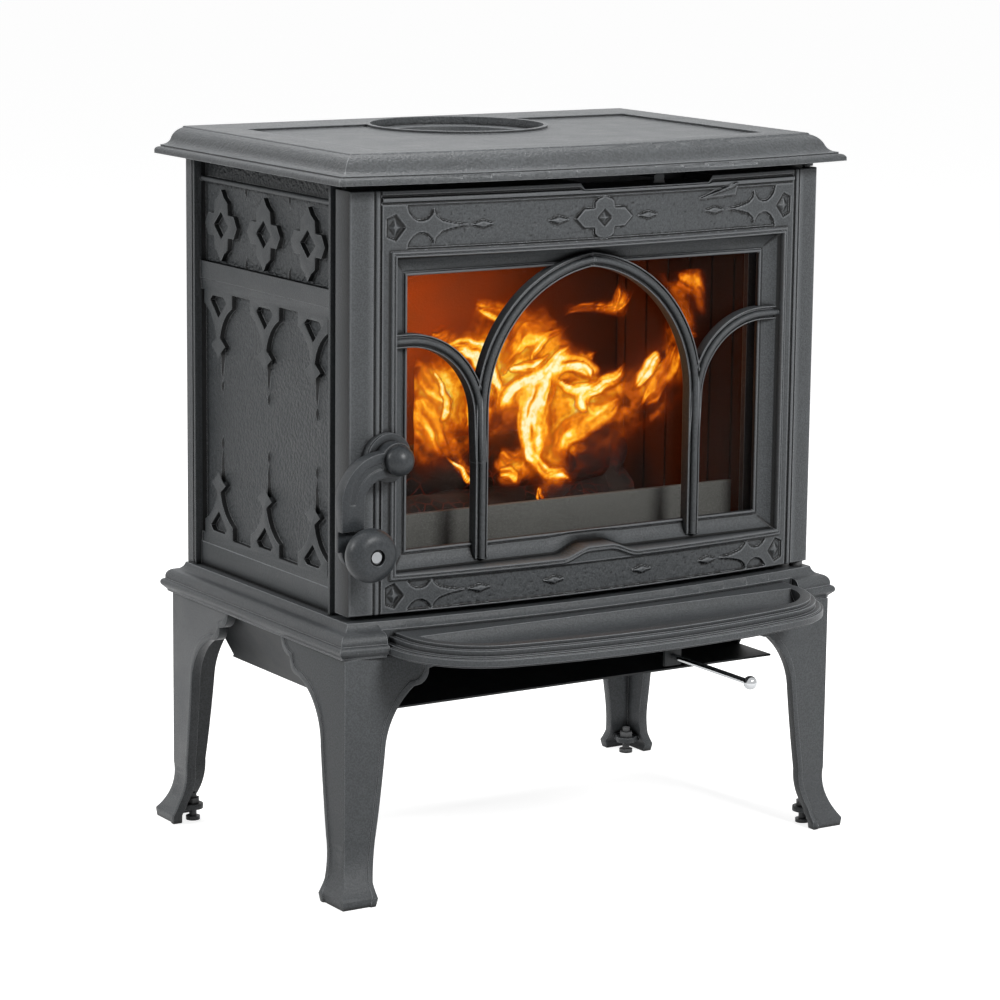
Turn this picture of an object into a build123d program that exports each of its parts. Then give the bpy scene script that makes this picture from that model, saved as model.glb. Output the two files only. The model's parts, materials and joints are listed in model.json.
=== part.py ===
from build123d import *
import math
import os

# Cast iron wood burning stove on four cabriole legs, in millimetres.
#
# Every sub-part is modelled in a working frame whose y = 0 is the door's face at its two side edges,
# with x = 0 on the centre line, z = 0 on the floor and +Y to the back. At export the parts move along Y,
# so that the origin lies below the middle of the whole stove.

# ---------------------------------------------------------------- driving sizes
LEG_RISE = 245.0          # floor to the underside of the base plate
BASE_THICK = 32.2         # base plate, underside to the step that carries the body
BODY_RISE = 434.8         # height of the side panels
TOP_THICK = 19.0          # top plate above the panels' top edge
DOOR_WIDTH = 554.4
DOOR_BOW = 22.0           # how far the middle of the door stands before its side edges
DOOR_EDGE = 27.0          # depth of the door's side edge
BODY_WIDTH = 554.0        # across the panels' outer flanges
BODY_DEPTH = 341.0        # door face to the back of the corner posts
WALL = 6.0                # general wall of a casting
SHEET = 2.0               # steel sheet
SLIDE_CLEAR = 0.3         # between faces that slide past each other
PIN_CLEAR = 0.05          # radial, between a pin and its bore
SCREW_CLEAR = 0.1         # radial, round a screw that is clamped

# ---------------------------------------------------------------- heights
BASE_TOP = LEG_RISE + BASE_THICK
SEAT = BASE_TOP + BODY_RISE
TOTAL_RISE = SEAT + TOP_THICK

# ---------------------------------------------------------------- top plate
TOP_SIDE_OVER = 23.0      # lip beyond the body's side
TOP_FRONT_OVER = 19.3     # lip before the door's edge
TOP_REAR_OVER = 21.9
TOP_LIP_DROP = 27.5       # top surface down to the lip's lower edge
TOP_OGEE_SIDE = 30.35     # width of the ogee in plan at the sides
TOP_OGEE_FRONT = 34.3
TOP_OGEE_REAR = 9.9
TOP_FIELD_DEPTH = 3.0
TOP_FIELD_SIDE = 37.5     # border between the ogee and the recessed field
TOP_FIELD_FRONT = 28.5
TOP_FIELD_REAR = 61.0
TOP_HOLLOW = 10.0         # depth of the hollow under the top plate
TOP_FIT = 4.0             # play between the lip and the body

# ---------------------------------------------------------------- flue collar
FLUE_R = 75.3             # bore that takes a 150 mm flue pipe
FLUE_FROM_BACK = 83.3
FLUE_HOLE_R = 91.0        # opening in the top plate
FLUE_RIM = 4.0
COLLAR_FLANGE_R = 108.0
COLLAR_T = 8.0
COLLAR_DROP = 9.0         # collar's top below the top surface
COLLAR_LENGTH = 34.0
COLLAR_SCREW_R = 2.0

# ---------------------------------------------------------------- base plate
BASE_SIDE_OVER = 22.2
BASE_FRONT_OVER = 22.1
BASE_REAR_OVER = 17.1
BASE_OGEE_SIDE = 19.1
BASE_OGEE_FRONT = 22.1
BASE_OGEE_REAR = 21.4
BASE_FACE = 0.72          # foot of the ogee, as a share of its width
BASE_SKIN = 8.0           # top wall of the base plate over its hollow
BASE_RIM = 9.0
BOSS_R = 12.0
SLOT_XS = (-36.0, -12.0, 12.0, 36.0)   # air slots under the grate
SLOT_W = 10.0
SLOT_HALF = 40.0          # half the length of a slot

# ---------------------------------------------------------------- tie rods
TIE_R = 3.0
TIE_IN = 25.5             # from the body's side to a tie rod
TIE_FRONT_IN = 9.0         # from the panels' front edge
TIE_REAR_IN = 38.0         # from the panels' rear edge
TIE_GRIP = 8.0            # thread in the top plate
NUT_T = 6.0

# ---------------------------------------------------------------- door
DOOR_BOTTOM_GAP = 5.5
DOOR_TOP_GAP = 16.0       # below the panels' top edge
DOOR_SKIN = 9.0
DOOR_FLANGE = 12.0
STILE_W = 67.7            # door's side edge to the window's opening
WINDOW_LOW = 65.1         # above the base top
WINDOW_HIGH = 333.8
COVE = 20.0               # width of the cove round the opening
COVE_FRONT = -4.0         # y at the cove's outer edge
COVE_BACK = 7.0           # y at the cove's inner edge
CASING = 11.0             # thick wall round the cove
RIDGE_W = 6.0             # ridge on the face round the window
RIDGE_RISE = 3.0
BAND_RELIEF = 2.5         # ornament above the upper and lower bands
BAND_HIGH_Z = 382.8       # middle of the upper band above the base top
BAND_LOW_Z = 23.3         # middle of the lower band above the base top
LEDGE = 10.0              # plane of the back of the window frame
GLASS_T = 4.0
GLASS_LAP = 14.5          # glass beyond the opening
GLASS_SHORT = 3.0         # by how much the lap is less at its top and bottom
GASKET_T = 2.0
GASKET_LAP = 4.5          # gasket's inner edge beyond the opening
CLIP_T = 2.0
CLIP_W = 14.0
CLIP_OUT = 8.0            # clip screw beyond the glass edge
CLIP_SCREW_R = 2.0
CLIP_HEIGHTS = (118.0, 268.0)   # side clips above the base top
CLIP_END_X = 110.0        # clips above and below the window
CLIP_LAP = 6.0            # clip over the glass
CLIP_TAIL = 7.0
MULLION_X = 127.5
MULLION_W = 18.0
MULLION_FRONT = -2.0      # y of the bars' band
BAR_RIDGE_W = 7.0
BAR_RIDGE_FRONT = -6.0
ARCH_R = 135.0
SIDE_ARCH_R = 82.0
SIDE_ARCH_OUT = 2.5       # centre of the side arches beyond the opening
ARCH_SPRING = 207.0       # centre of the main arch above the base top
SIDE_ARCH_Z = 189.8       # centre of the side arches above the base top
ROPE_SIDE_IN = 21.2       # rope seal from the door's side edges
ROPE_IN = 21.0            # rope seal from the door's top and bottom edges
ROPE_W = 10.0
ROPE_CARRIER_W = 14.0
ROPE_CARRIER_BACK = 24.0
ROPE_CORNER_R = 20.0
NOTCH_X = (-24.0, 128.0)  # notch for the air lever in the door's top edge
NOTCH_DEPTH = 7.0
NOTCH_SLANT = 5.0
HINGE_IN = 8.2            # hinge axis from the door's side edge
HINGE_Y = 8.0
HINGE_PIN_R = 4.0
HINGE_GRIP = 22.0         # pin in the door
HINGE_FOOT = 13.0         # pin in the base plate
HINGE_COLLAR_R = 7.0
HINGE_LUG_R = 7.0
HINGE_LUG_T = 5.0
HINGE_LUG_GAP = 1.5

# ---------------------------------------------------------------- front frame
FRAME_FRONT = 31.0
FRAME_T = 7.0
FRAME_IN = 13.0           # frame's side edge from the body's side
FRAME_OPEN_OUT = 5.5      # frame's opening beyond the window
FRAME_OPEN_LOW = 55.0     # above the base top
FRAME_OPEN_HIGH = 360.0

# ---------------------------------------------------------------- side panels
PANEL_FRONT = FRAME_FRONT + FRAME_T
FIELD_IN = 14.0           # field below the flanges' outer plane
RELIEF = 7.0              # height of the rails on the field
FLANGE_T = 3.5
COLUMN_PITCH = 98.5
COLUMN_BACK = 4.5         # middle column behind the panel's middle
QUATRE_PITCH = 90.0
QUATRE_BACK = 6.5
SPIKE_HALF = 3.5
SPIKE_RISE = 13.0
COLUMN_BUD = 29.5         # small lozenge from the arcade's middle
BUD_HALF = 2.6
BUD_RISE = 8.0
LOW_RELIEF = 2.4          # height of the points, lozenges and spikes on the field
FRIEZE_LOW = 116.0        # below the panel's top
BELT_LOW = 134.0
ARCADE_TOP = 145.5
ARCADE_LOW = 35.0         # above the panel's foot
PANEL_RAIL = 24.5
BEAD_DROP = 32.0
BEAD_R = 2.5
QUATRE_DROP = 76.5

# ---------------------------------------------------------------- back plate and its heat shield
POST_W = 22.0
POST_DEPTH = 15.0
POST_GAP = 3.0            # panel's back flange to the corner post
POST_CHAMFER = 3.0
RIB_HEIGHTS = (40.0, 388.8)   # cross ribs above the base top
RIB_H = 6.0
BACK_T = 8.0
SHIELD_IN = 92.0          # shield fixings from the body's side
SHIELD_LOW = 70.0
SHIELD_HIGH = 75.0
SHIELD_GAP = 10.0
SHIELD_T = 1.5
SHIELD_SCREW_R = 2.0

# ---------------------------------------------------------------- handle
HANDLE_IN = 37.2          # shaft from the door's side edge
HANDLE_Z = 161.8          # above the base top
PAD_R = 24.0
PAD_BACK = -10.5
PAD_T = 3.5
SHAFT_R = 6.0
HUB_R = 17.0
ARM_W = 25.0
ARM_BACK = -15.0
ARM_FRONT = -29.0
ARM_BEND_R = 36.0
ARM_DROP_X = -49.0        # arm's lower run from the shaft
ARM_LOWER = 4.0           # arm's upper run below the shaft
FLUTE_HALF = 3.0
FLUTE_DEPTH = 1.5
KNOB_DX = -39.0           # knob's axis from the shaft
KNOB_DZ = -86.5
KNOB_R = 26.5
KNOB_HALF = 14.0
KNOB_Y = -45.0
KNOB_PLATE_R = 18.0
KNOB_PLATE_T = 6.0
KNOB_BORE_R = 8.0
KNOB_SCREW_R = 3.0
CAP_R = 14.7
CAP_RISE = 16.0
HOOK_FRONT = 22.0
HOOK_T = 4.0
HOOK_REACH = 28.0
HOOK_HALF = 6.0
CATCH_LAP = 4.5           # catch lip's thickness along Y

# ---------------------------------------------------------------- ash lip
ASH_HALF = 248.0
ASH_REACH = 146.0         # foremost point, before y = 0
ASH_FRONT_R = 900.0
ASH_CORNER_R = 95.0
ASH_LOW = 2.0             # above the base plate's underside
ASH_RISE = 20.0
ASH_RIM = 24.0
ASH_FLOOR = 7.0           # dish floor above the lip's underside
ASH_SKIN = 4.0
ASH_BOLT_IN = 98.0        # bolt from the lip's end
ASH_BOLT_R = 3.0
ASH_BOLT_RISE = 9.0
ASH_BOLT_GRIP = 14.0
BASE_HOLLOW_FRONT = 2.0   # front of the hollow under the base plate

# ---------------------------------------------------------------- legs
LEG_SIDE_OVER = 15.4      # a leg's outer corner beyond the body's side
LEG_FRONT_OVER = 19.5
LEG_REAR_OVER = 2.4
LEG_WALL = 9.0
LEG_FLARE_X = 12.4        # how far the foot stands out from the leg's corner
LEG_FLARE_Y = 18.4
LEG_FLARE_RISE = 62.0
LEG_BRACKET_X = 112.0
LEG_BRACKET_Y = 125.0
LEG_FACE = 45.0
LEG_ANKLE = 34.0
LEG_BEAD = 5.0
LEG_BEAD_RISE = 1.8
LEG_PAD_IN = 36.0         # bolt from the leg's corner, both ways
LEG_PAD_T = 10.0
LEG_BOLT_R = 4.0
LEG_BOLT_GRIP = 16.0
LEVEL_IN = 15.0           # levelling screw from the leg's corner, both ways
LEVEL_Z = 12.0
LEVEL_T = 6.0
LEVEL_R = 4.0
LEVEL_NUT_R = 7.5
LEVEL_LUG_R = 7.8         # round end of the lug that carries the screw

# ---------------------------------------------------------------- sheet below the base
BELOW_Z = 63.0            # below the base plate's underside
BELOW_HALF = 247.0
BELOW_TOP_OVER = 4.0      # top of the side walls beyond the body's side
BELOW_FRONT = 18.0
BELOW_REAR_IN = 47.0
BELOW_WALL_Y = 75.0       # the side walls start here
BELOW_FLANGE = 14.0
REAR_FLANGE = 4.5
BELOW_SCREW_IN = 9.0
BELOW_SCREW_YS = (130.0, 195.0)

# ---------------------------------------------------------------- firebox
FLOOR_T = 9.8
FLOOR_FRONT_IN = 14.0     # from the panels' front edge
FLOOR_REAR_IN = 5.0
GRATE_W = 200.0
GRATE_D = 120.0
GRATE_FROM_BACK = 151.0
GRATE_GAP = 2.0
BRICK_T = 10.0
BRICK_IN = 31.0           # body's side to the side bricks' outer face
BRICK_FRONT_IN = 20.0     # from the panels' front edge
BACK_BRICK_T = 12.0
BACK_BRICK_GAP = 19.0     # smoke and air space behind the back brick
BRICK_RISE = 328.0
BAFFLE_T = 12.0
BAFFLE_IN = 52.0          # front edge from the side bricks' front
GUARD_IN = 10.0           # from the panels' front edge
GUARD_T = 6.0
GUARD_OUT = 2.5           # beyond the window's opening
GUARD_RISE = 80.0
GUARD_FOOT = 24.0
GUARD_SLOT = (46.0, 10.0)
GUARD_SLOT_PITCH = 66.0

# ---------------------------------------------------------------- window air valve
VALVE_Z = (373.0, 409.0)  # plate's lower and upper edge above the base top
VALVE_X = (-70.0, 140.0)
VALVE_T = 3.0
RAIL_H = 4.0
LEVER_X = 71.0
LEVER_W = 12.0
LEVER_BAR_Z = (417.8, 420.8)
LEVER_TAB_Y = (-12.0, -8.0)
LEVER_TAB_Z = (412.8, 421.8)
LEVER_TRAVEL = (-80.0, 40.0)
DUCT_IN = 15.0            # from the side of the frame's opening
DUCT_DEPTH = 37.0
DUCT_LOW = 363.0
DUCT_SLIT = 10.0

# ---------------------------------------------------------------- ignition air rod
ROD_X = 100.0
ROD_DROP = 42.0           # rod below the base plate's underside
ROD_R = 3.0
ROD_BALL_R = 7.0
ROD_BALL_Y = -145.0
ROD_TRAVEL = 30.0
GUIDE_Y = -12.0
SHUTTER_HALF = 50.0
SHUTTER_T = 2.0
SHUTTER_REACH = 50.0      # half the shutter's depth
LINK_X = 34.0
LINK_BACK = 6.0           # behind the grate's middle
LINK_W = 6.0

# ---------------------------------------------------------------- worked out
BOW_R = (DOOR_WIDTH ** 2 / 4 + DOOR_BOW ** 2) / (2 * DOOR_BOW)
BOW_Y = BOW_R - DOOR_BOW                # all front arcs share this centre
DOOR_HALF = DOOR_WIDTH / 2
DOOR_LOW = BASE_TOP + DOOR_BOTTOM_GAP
DOOR_HIGH = SEAT - DOOR_TOP_GAP
BODY_HALF = BODY_WIDTH / 2
WINDOW_HALF = DOOR_HALF - STILE_W
SIDE_ARCH_X = WINDOW_HALF + SIDE_ARCH_OUT
ROPE_X = DOOR_HALF - ROPE_SIDE_IN
HINGE_X = DOOR_HALF - HINGE_IN
HANDLE_X = HANDLE_IN - DOOR_HALF
FRAME_HALF = BODY_HALF - FRAME_IN
FRAME_OPEN_HALF = WINDOW_HALF + FRAME_OPEN_OUT
DUCT_HALF = FRAME_OPEN_HALF - DUCT_IN
WIN_Z0 = BASE_TOP + WINDOW_LOW
WIN_Z1 = BASE_TOP + WINDOW_HIGH
TOP_SIDE = BODY_HALF + TOP_SIDE_OVER
TOP_BACK = BODY_DEPTH + TOP_REAR_OVER
LIP_LOW = TOTAL_RISE - TOP_LIP_DROP
COLLAR_TOP = TOTAL_RISE - COLLAR_DROP
BASE_SIDE = BODY_HALF + BASE_SIDE_OVER
BASE_BACK = BODY_DEPTH + BASE_REAR_OVER
BACK_FACE = BODY_DEPTH - 2.0
POST_FRONT = BODY_DEPTH - POST_DEPTH
PANEL_REAR = POST_FRONT - POST_GAP
PANEL_MID_Y = (PANEL_FRONT + PANEL_REAR) / 2
HOLLOW_BACK = PANEL_REAR                # back of the hollow under the top plate
FLUE_Y = BODY_DEPTH - FLUE_FROM_BACK
SHIELD_X = BODY_HALF - SHIELD_IN
TIE_YS = (PANEL_FRONT + TIE_FRONT_IN, PANEL_REAR - TIE_REAR_IN)
COLLAR_R = FLUE_R + WALL
TIE_X = BODY_HALF - TIE_IN
SHAFT_Z = BASE_TOP + HANDLE_Z
KNOB_X = HANDLE_X + KNOB_DX
KNOB_Z = SHAFT_Z + KNOB_DZ
ASH_Z0 = LEG_RISE + ASH_LOW
ASH_Z1 = ASH_Z0 + ASH_RISE
ASH_BOLT_Z = ASH_Z0 + ASH_BOLT_RISE
ASH_BOLT_XS = (ASH_BOLT_IN - ASH_HALF, ASH_HALF - ASH_BOLT_IN)
KNOB_PLATE_FRONT = ARM_BACK - KNOB_PLATE_T
LEG_X = BODY_HALF + LEG_SIDE_OVER
LEG_FRONT_Y = -LEG_FRONT_OVER
LEG_REAR_Y = BODY_DEPTH + LEG_REAR_OVER
BELOW_TOP_HALF = BODY_HALF + BELOW_TOP_OVER
BELOW_Y = (BELOW_FRONT, BODY_DEPTH - BELOW_REAR_IN)
ROD_Z = LEG_RISE - ROD_DROP
BRICK_TOP = BASE_TOP + FLOOR_T + BRICK_RISE
BRICK_Y = (PANEL_FRONT + BRICK_FRONT_IN, BACK_FACE - BACK_T - BACK_BRICK_GAP - BACK_BRICK_T)
BAFFLE_FRONT = BRICK_Y[0] + BAFFLE_IN
FLOOR_HALF = BODY_HALF - BRICK_IN
FLOOR_Y = (PANEL_FRONT + FLOOR_FRONT_IN, PANEL_REAR - FLOOR_REAR_IN)
GRATE_Y = BODY_DEPTH - GRATE_FROM_BACK
SLOT_Y = (GRATE_Y - SLOT_HALF, GRATE_Y + SLOT_HALF)
SHUTTER_Y = (GRATE_Y - SHUTTER_REACH, GRATE_Y + SHUTTER_REACH)
LINK_Y = GRATE_Y + LINK_BACK
ROD_END_Y = LINK_Y + LINK_W + 4
GUARD_Y = PANEL_FRONT + GUARD_IN
GUARD_HALF = WINDOW_HALF + GUARD_OUT
GASKET_BACK = LEDGE + GASKET_T
GLASS_BACK = GASKET_BACK + GLASS_T
FRONT_REACH = max(ASH_REACH, ROD_BALL_R - ROD_BALL_Y)
REAR_REACH = max(TOP_BACK, LEG_REAR_Y + LEG_FLARE_Y + LEG_BEAD_RISE)
BACK_SHIFT = (FRONT_REACH - REAR_REACH) / 2
FAR = 400.0                             # beyond every part, for cutting tools
TIE_POINTS = [(sx * TIE_X, y) for sx in (-1, 1) for y in TIE_YS]
LEG_BOLTS = [(sx * (LEG_X - LEG_PAD_IN), y) for sx in (-1, 1)
             for y in (LEG_FRONT_Y + LEG_PAD_IN, LEG_REAR_Y - LEG_PAD_IN)]
SHIELD_POINTS = [(sx * SHIELD_X, z) for sx in (-1, 1) for z in (BASE_TOP + SHIELD_LOW, SEAT - SHIELD_HIGH)]
BELOW_SCREWS = [(sx * (BELOW_TOP_HALF - BELOW_SCREW_IN), y) for sx in (-1, 1) for y in BELOW_SCREW_YS]
COLLAR_SCREW_AT = (FLUE_HOLE_R + FLUE_RIM + COLLAR_FLANGE_R) / 2
COLLAR_TURNS = [math.radians(a) for a in (180, 225, 315, 0)]
COLLAR_SCREWS = [(COLLAR_SCREW_AT * math.cos(a), FLUE_Y + COLLAR_SCREW_AT * math.sin(a))
                 for a in COLLAR_TURNS]
CLIP_X = WINDOW_HALF + GLASS_LAP + CLIP_OUT
SIDE_CLIPS = [(sx * CLIP_X, BASE_TOP + h, 0) for sx in (-1, 1) for h in CLIP_HEIGHTS]
END_LAP = GLASS_LAP - GLASS_SHORT + CLIP_OUT
END_CLIP_ZS = ((WIN_Z0 - END_LAP, -1), (WIN_Z1 + END_LAP, 1))
CLIPS = SIDE_CLIPS + [(sx * CLIP_END_X, z, turn) for sx in (-1, 1) for z, turn in END_CLIP_ZS]


# ---------------------------------------------------------------- shape helpers
def block(x0, x1, y0, y1, z0, z1):
    return Pos((x0 + x1) / 2, (y0 + y1) / 2, (z0 + z1) / 2) * Box(x1 - x0, y1 - y0, z1 - z0)


def outline(start, *steps):
    """A closed face: each step is a point for a line, or (middle, end) for an arc."""
    edges, here = [], start
    for step in steps:
        if isinstance(step[0], tuple):
            edges.append(ThreePointArc(here, step[0], step[1]))
            here = step[1]
        else:
            edges.append(Line(here, step))
            here = step
    if here != start:
        edges.append(Line(here, start))
    return make_face(edges)


def along_x(face, x0, x1):
    """A face drawn in (y, z), as a prism from x0 to x1."""
    return extrude(Plane(origin=(x0, 0, 0), x_dir=(0, 1, 0), z_dir=(1, 0, 0)) * face, amount=x1 - x0)


def along_y(face, y0, y1):
    """A face drawn in (x, z), as a prism from y0 to y1."""
    return extrude(Plane(origin=(0, y1, 0), x_dir=(1, 0, 0), z_dir=(0, -1, 0)) * face, amount=y1 - y0)


def along_z(face, z0, z1):
    """A face drawn in (x, y), as a prism from z0 to z1."""
    return extrude(Plane(origin=(0, 0, z0)) * face, amount=z1 - z0)


def rod_z(x, y, z0, z1, r):
    return Pos(x, y, z0) * Cylinder(r, z1 - z0, align=(Align.CENTER, Align.CENTER, Align.MIN))


def rod_y(x, z, y0, y1, r):
    return along_y(Pos(x, z) * Circle(r), y0, y1)


def hexagon_z(x, y, z0, z1, r):
    return along_z(Pos(x, y) * RegularPolygon(r, 6), z0, z1)


def hexagon_y(x, z, y0, y1, r):
    return along_y(Pos(x, z) * RegularPolygon(r, 6), y0, y1)


def rect(x0, x1, z0, z1):
    return Pos((x0 + x1) / 2, (z0 + z1) / 2) * Rectangle(x1 - x0, z1 - z0)


def both_sides(shape):
    return [shape, mirror(shape, about=Plane.YZ)]


def bow_y(x, inset=0.0):
    """The y of the front arc at x, moved inset towards the arcs' centre."""
    return BOW_Y - math.sqrt((BOW_R - inset) ** 2 - x * x)


def arc_radius(x, y):
    return math.hypot(x, BOW_Y - y)


def bowed_slab(half, radius, back, z0, z1):
    """A slab with a bowed front of that radius, straight sides and back."""
    y = BOW_Y - math.sqrt(radius ** 2 - half ** 2)
    return along_z(outline((-half, back), (-half, y), ((0, BOW_Y - radius), (half, y)), (half, back)), z0, z1)


def shell_slab(half, inset0, inset1, z0, z1):
    """A slab between two front arcs, inset0 and inset1 behind the door's face."""
    a, b = bow_y(half, inset0), bow_y(half, inset1)
    face = outline((-half, b), (-half, a), ((0, bow_y(0, inset0)), (half, a)), (half, b),
                   ((0, bow_y(0, inset1)), (-half, b)))
    return along_z(face, z0, z1)


def moulded(profile, low, half, front_radius, back, widths):
    """A plate with one profile on its front, sides and back.

    profile lists (out, z) steps from the inner top edge down to the underside, out running from 0 to 1.
    half, front_radius and back place out = 0; widths are the moulding's side, front and back widths.
    """
    side_w, front_w, back_w = widths

    def scaled(width, origin):
        def place(point):
            return (origin + point[0] * width, point[1])
        return [tuple(place(p) for p in step) if isinstance(step[0], tuple) else place(step)
                for step in profile]

    def closed(steps, inner):
        first = steps[0]
        return outline((inner, first[1]), first, *steps[1:], (inner, low))

    right = closed(scaled(side_w, half), 0)
    sides = along_y(right, -FAR, 2 * FAR) + along_y(mirror(right, about=Plane.YZ), -FAR, 2 * FAR)
    rear = along_x(closed(scaled(back_w, back), -FAR), -FAR, FAR)
    ring = closed(scaled(front_w, front_radius), 0)
    front = revolve(Plane(origin=(0, BOW_Y, 0), x_dir=(0, -1, 0), z_dir=(-1, 0, 0)) * ring,
                    axis=Axis((0, BOW_Y, 0), (0, 0, 1)), revolution_arc=360)
    return sides & rear & front


def ogee_top():
    """Profile of the top plate's edge, from the top surface to the lip's underside."""
    t, drop = TOTAL_RISE, TOP_LIP_DROP
    return [(0.0, t), ((0.05, t - 0.3), (0.08, t - 0.06 * drop)),
            ((0.28, t - 0.17 * drop), (0.46, t - 0.44 * drop)),
            ((0.61, t - 0.63 * drop), (0.80, t - 0.68 * drop)), (0.80, t - 0.76 * drop),
            ((0.93, t - 0.78 * drop), (1.0, t - 0.88 * drop)), (1.0, t - drop)]


def ogee_base():
    """Profile of the base plate's edge, from the step to the underside."""
    t, h = BASE_TOP, BASE_THICK
    return [(0.0, t), ((0.12, t - 0.16 * h), (0.36, t - 0.25 * h)),
            ((0.66, t - 0.32 * h), (0.80, t - 0.52 * h)),
            (0.80, t - 0.59 * h), ((1.0, t - 0.71 * h), (0.90, t - 0.84 * h)), (BASE_FACE, t - 0.95 * h),
            (BASE_FACE, t - h)]


# ---------------------------------------------------------------- top of the stove
def top_plate():
    radius = arc_radius(TOP_SIDE, -TOP_FRONT_OVER) - TOP_OGEE_FRONT
    half, back = TOP_SIDE - TOP_OGEE_SIDE, TOP_BACK - TOP_OGEE_REAR
    plate = moulded(ogee_top(), LIP_LOW, half, radius, back, (TOP_OGEE_SIDE, TOP_OGEE_FRONT, TOP_OGEE_REAR))
    plate -= bowed_slab(BODY_HALF + TOP_FIT, BOW_R + TOP_FIT + 1, BODY_DEPTH + TOP_FIT, LIP_LOW - 1, SEAT)
    inner = TIE_X - TIE_R - 2.5
    plate -= block(-inner, inner, PANEL_FRONT + 9, HOLLOW_BACK, SEAT - 1, SEAT + TOP_HOLLOW)
    plate -= bowed_slab(half - TOP_FIELD_SIDE, radius - TOP_FIELD_FRONT, back - TOP_FIELD_REAR,
                        TOTAL_RISE - TOP_FIELD_DEPTH, TOTAL_RISE + 1)
    plate += rod_z(0, FLUE_Y, COLLAR_TOP, TOTAL_RISE, FLUE_HOLE_R + FLUE_RIM)
    plate -= rod_z(0, FLUE_Y, COLLAR_TOP, TOTAL_RISE + 1, FLUE_HOLE_R)
    plate -= rod_z(0, FLUE_Y, LIP_LOW, COLLAR_TOP, FLUE_HOLE_R) & block(-FAR, FAR, 0, HOLLOW_BACK, 0, 2 * FAR)
    plate -= rod_z(0, FLUE_Y, LIP_LOW, COLLAR_TOP, COLLAR_R)
    plate -= [rod_z(x, y, SEAT - 1, SEAT + TIE_GRIP, TIE_R) for x, y in TIE_POINTS]
    plate -= [rod_z(x, y, COLLAR_TOP - 1, COLLAR_TOP + 4, COLLAR_SCREW_R) for x, y in COLLAR_SCREWS]
    return plate


def flue_collar():
    flange = rod_z(0, FLUE_Y, COLLAR_TOP - COLLAR_T, COLLAR_TOP, COLLAR_FLANGE_R)
    flange &= block(-FAR, FAR, -FAR, HOLLOW_BACK, 0, 2 * FAR)
    collar = flange + rod_z(0, FLUE_Y, COLLAR_TOP - COLLAR_LENGTH, COLLAR_TOP, COLLAR_R)
    collar -= rod_z(0, FLUE_Y, 0, 2 * FAR, FLUE_R)
    hole = COLLAR_SCREW_R + SCREW_CLEAR
    return collar - [rod_z(x, y, COLLAR_TOP - COLLAR_T - 1, COLLAR_TOP + 1, hole) for x, y in COLLAR_SCREWS]


def flue_collar_screws():
    low = COLLAR_TOP - COLLAR_T
    return [rod_z(x, y, low, COLLAR_TOP + 3.5, COLLAR_SCREW_R) + hexagon_z(x, y, low - 4, low, 5.0)
            for x, y in COLLAR_SCREWS]


def tie_rods():
    return [rod_z(x, y, LEG_RISE - NUT_T - 2, SEAT + TIE_GRIP, TIE_R) for x, y in TIE_POINTS]


def tie_rod_nuts():
    return [hexagon_z(x, y, LEG_RISE - NUT_T, LEG_RISE, TIE_R + 3) - rod_z(x, y, 0, LEG_RISE + 1, TIE_R)
            for x, y in TIE_POINTS]


# ---------------------------------------------------------------- side panels
def quatrefoil(h=1.0, v=1.0):
    """Four-lobed figure with pointed arms, drawn about its centre."""
    quarter = [(0, 37 * v), (6 * h, 29 * v), (14 * h, 24 * v), (15 * h, 11.5 * v), (27 * h, 11.5 * v),
               (34 * h, 0)]
    right = quarter + [(x, -y) for x, y in reversed(quarter[:-1])]
    left = [(-x, y) for x, y in reversed(right[1:-1])]
    return make_face(Polyline(*right, *left, close=True))


def diamond(half_h, half_v):
    return make_face(Polyline((0, half_v), (half_h, 0), (0, -half_v), (-half_h, 0), close=True))


def column_figure(mid, top):
    """Half of an arcade column above its middle: spandrel, arcs and cusps, drawn about y = 0."""
    s = top - mid
    right = outline((0, s), (30, s), (30, s - 14), ((13, s - 27), (3.5, s - 47)), (15, s - 55),
                    (5.5, s - 62), (0, s - 68))
    panel = outline((-12, s - 4.5), (12, s - 4.5), (17.5, s - 9.5), (0, s - 26.5), (-17.5, s - 9.5))
    return right + mirror(right, about=Plane.YZ) - panel


def column_taper(mid, top):
    """The low point below an arcade column's cusps."""
    s = top - mid
    right = outline((0, s - 55), (6.5, s - 60), ((2.6, s - 74), (0, s - 97)))
    return right + mirror(right, about=Plane.YZ)


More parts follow.
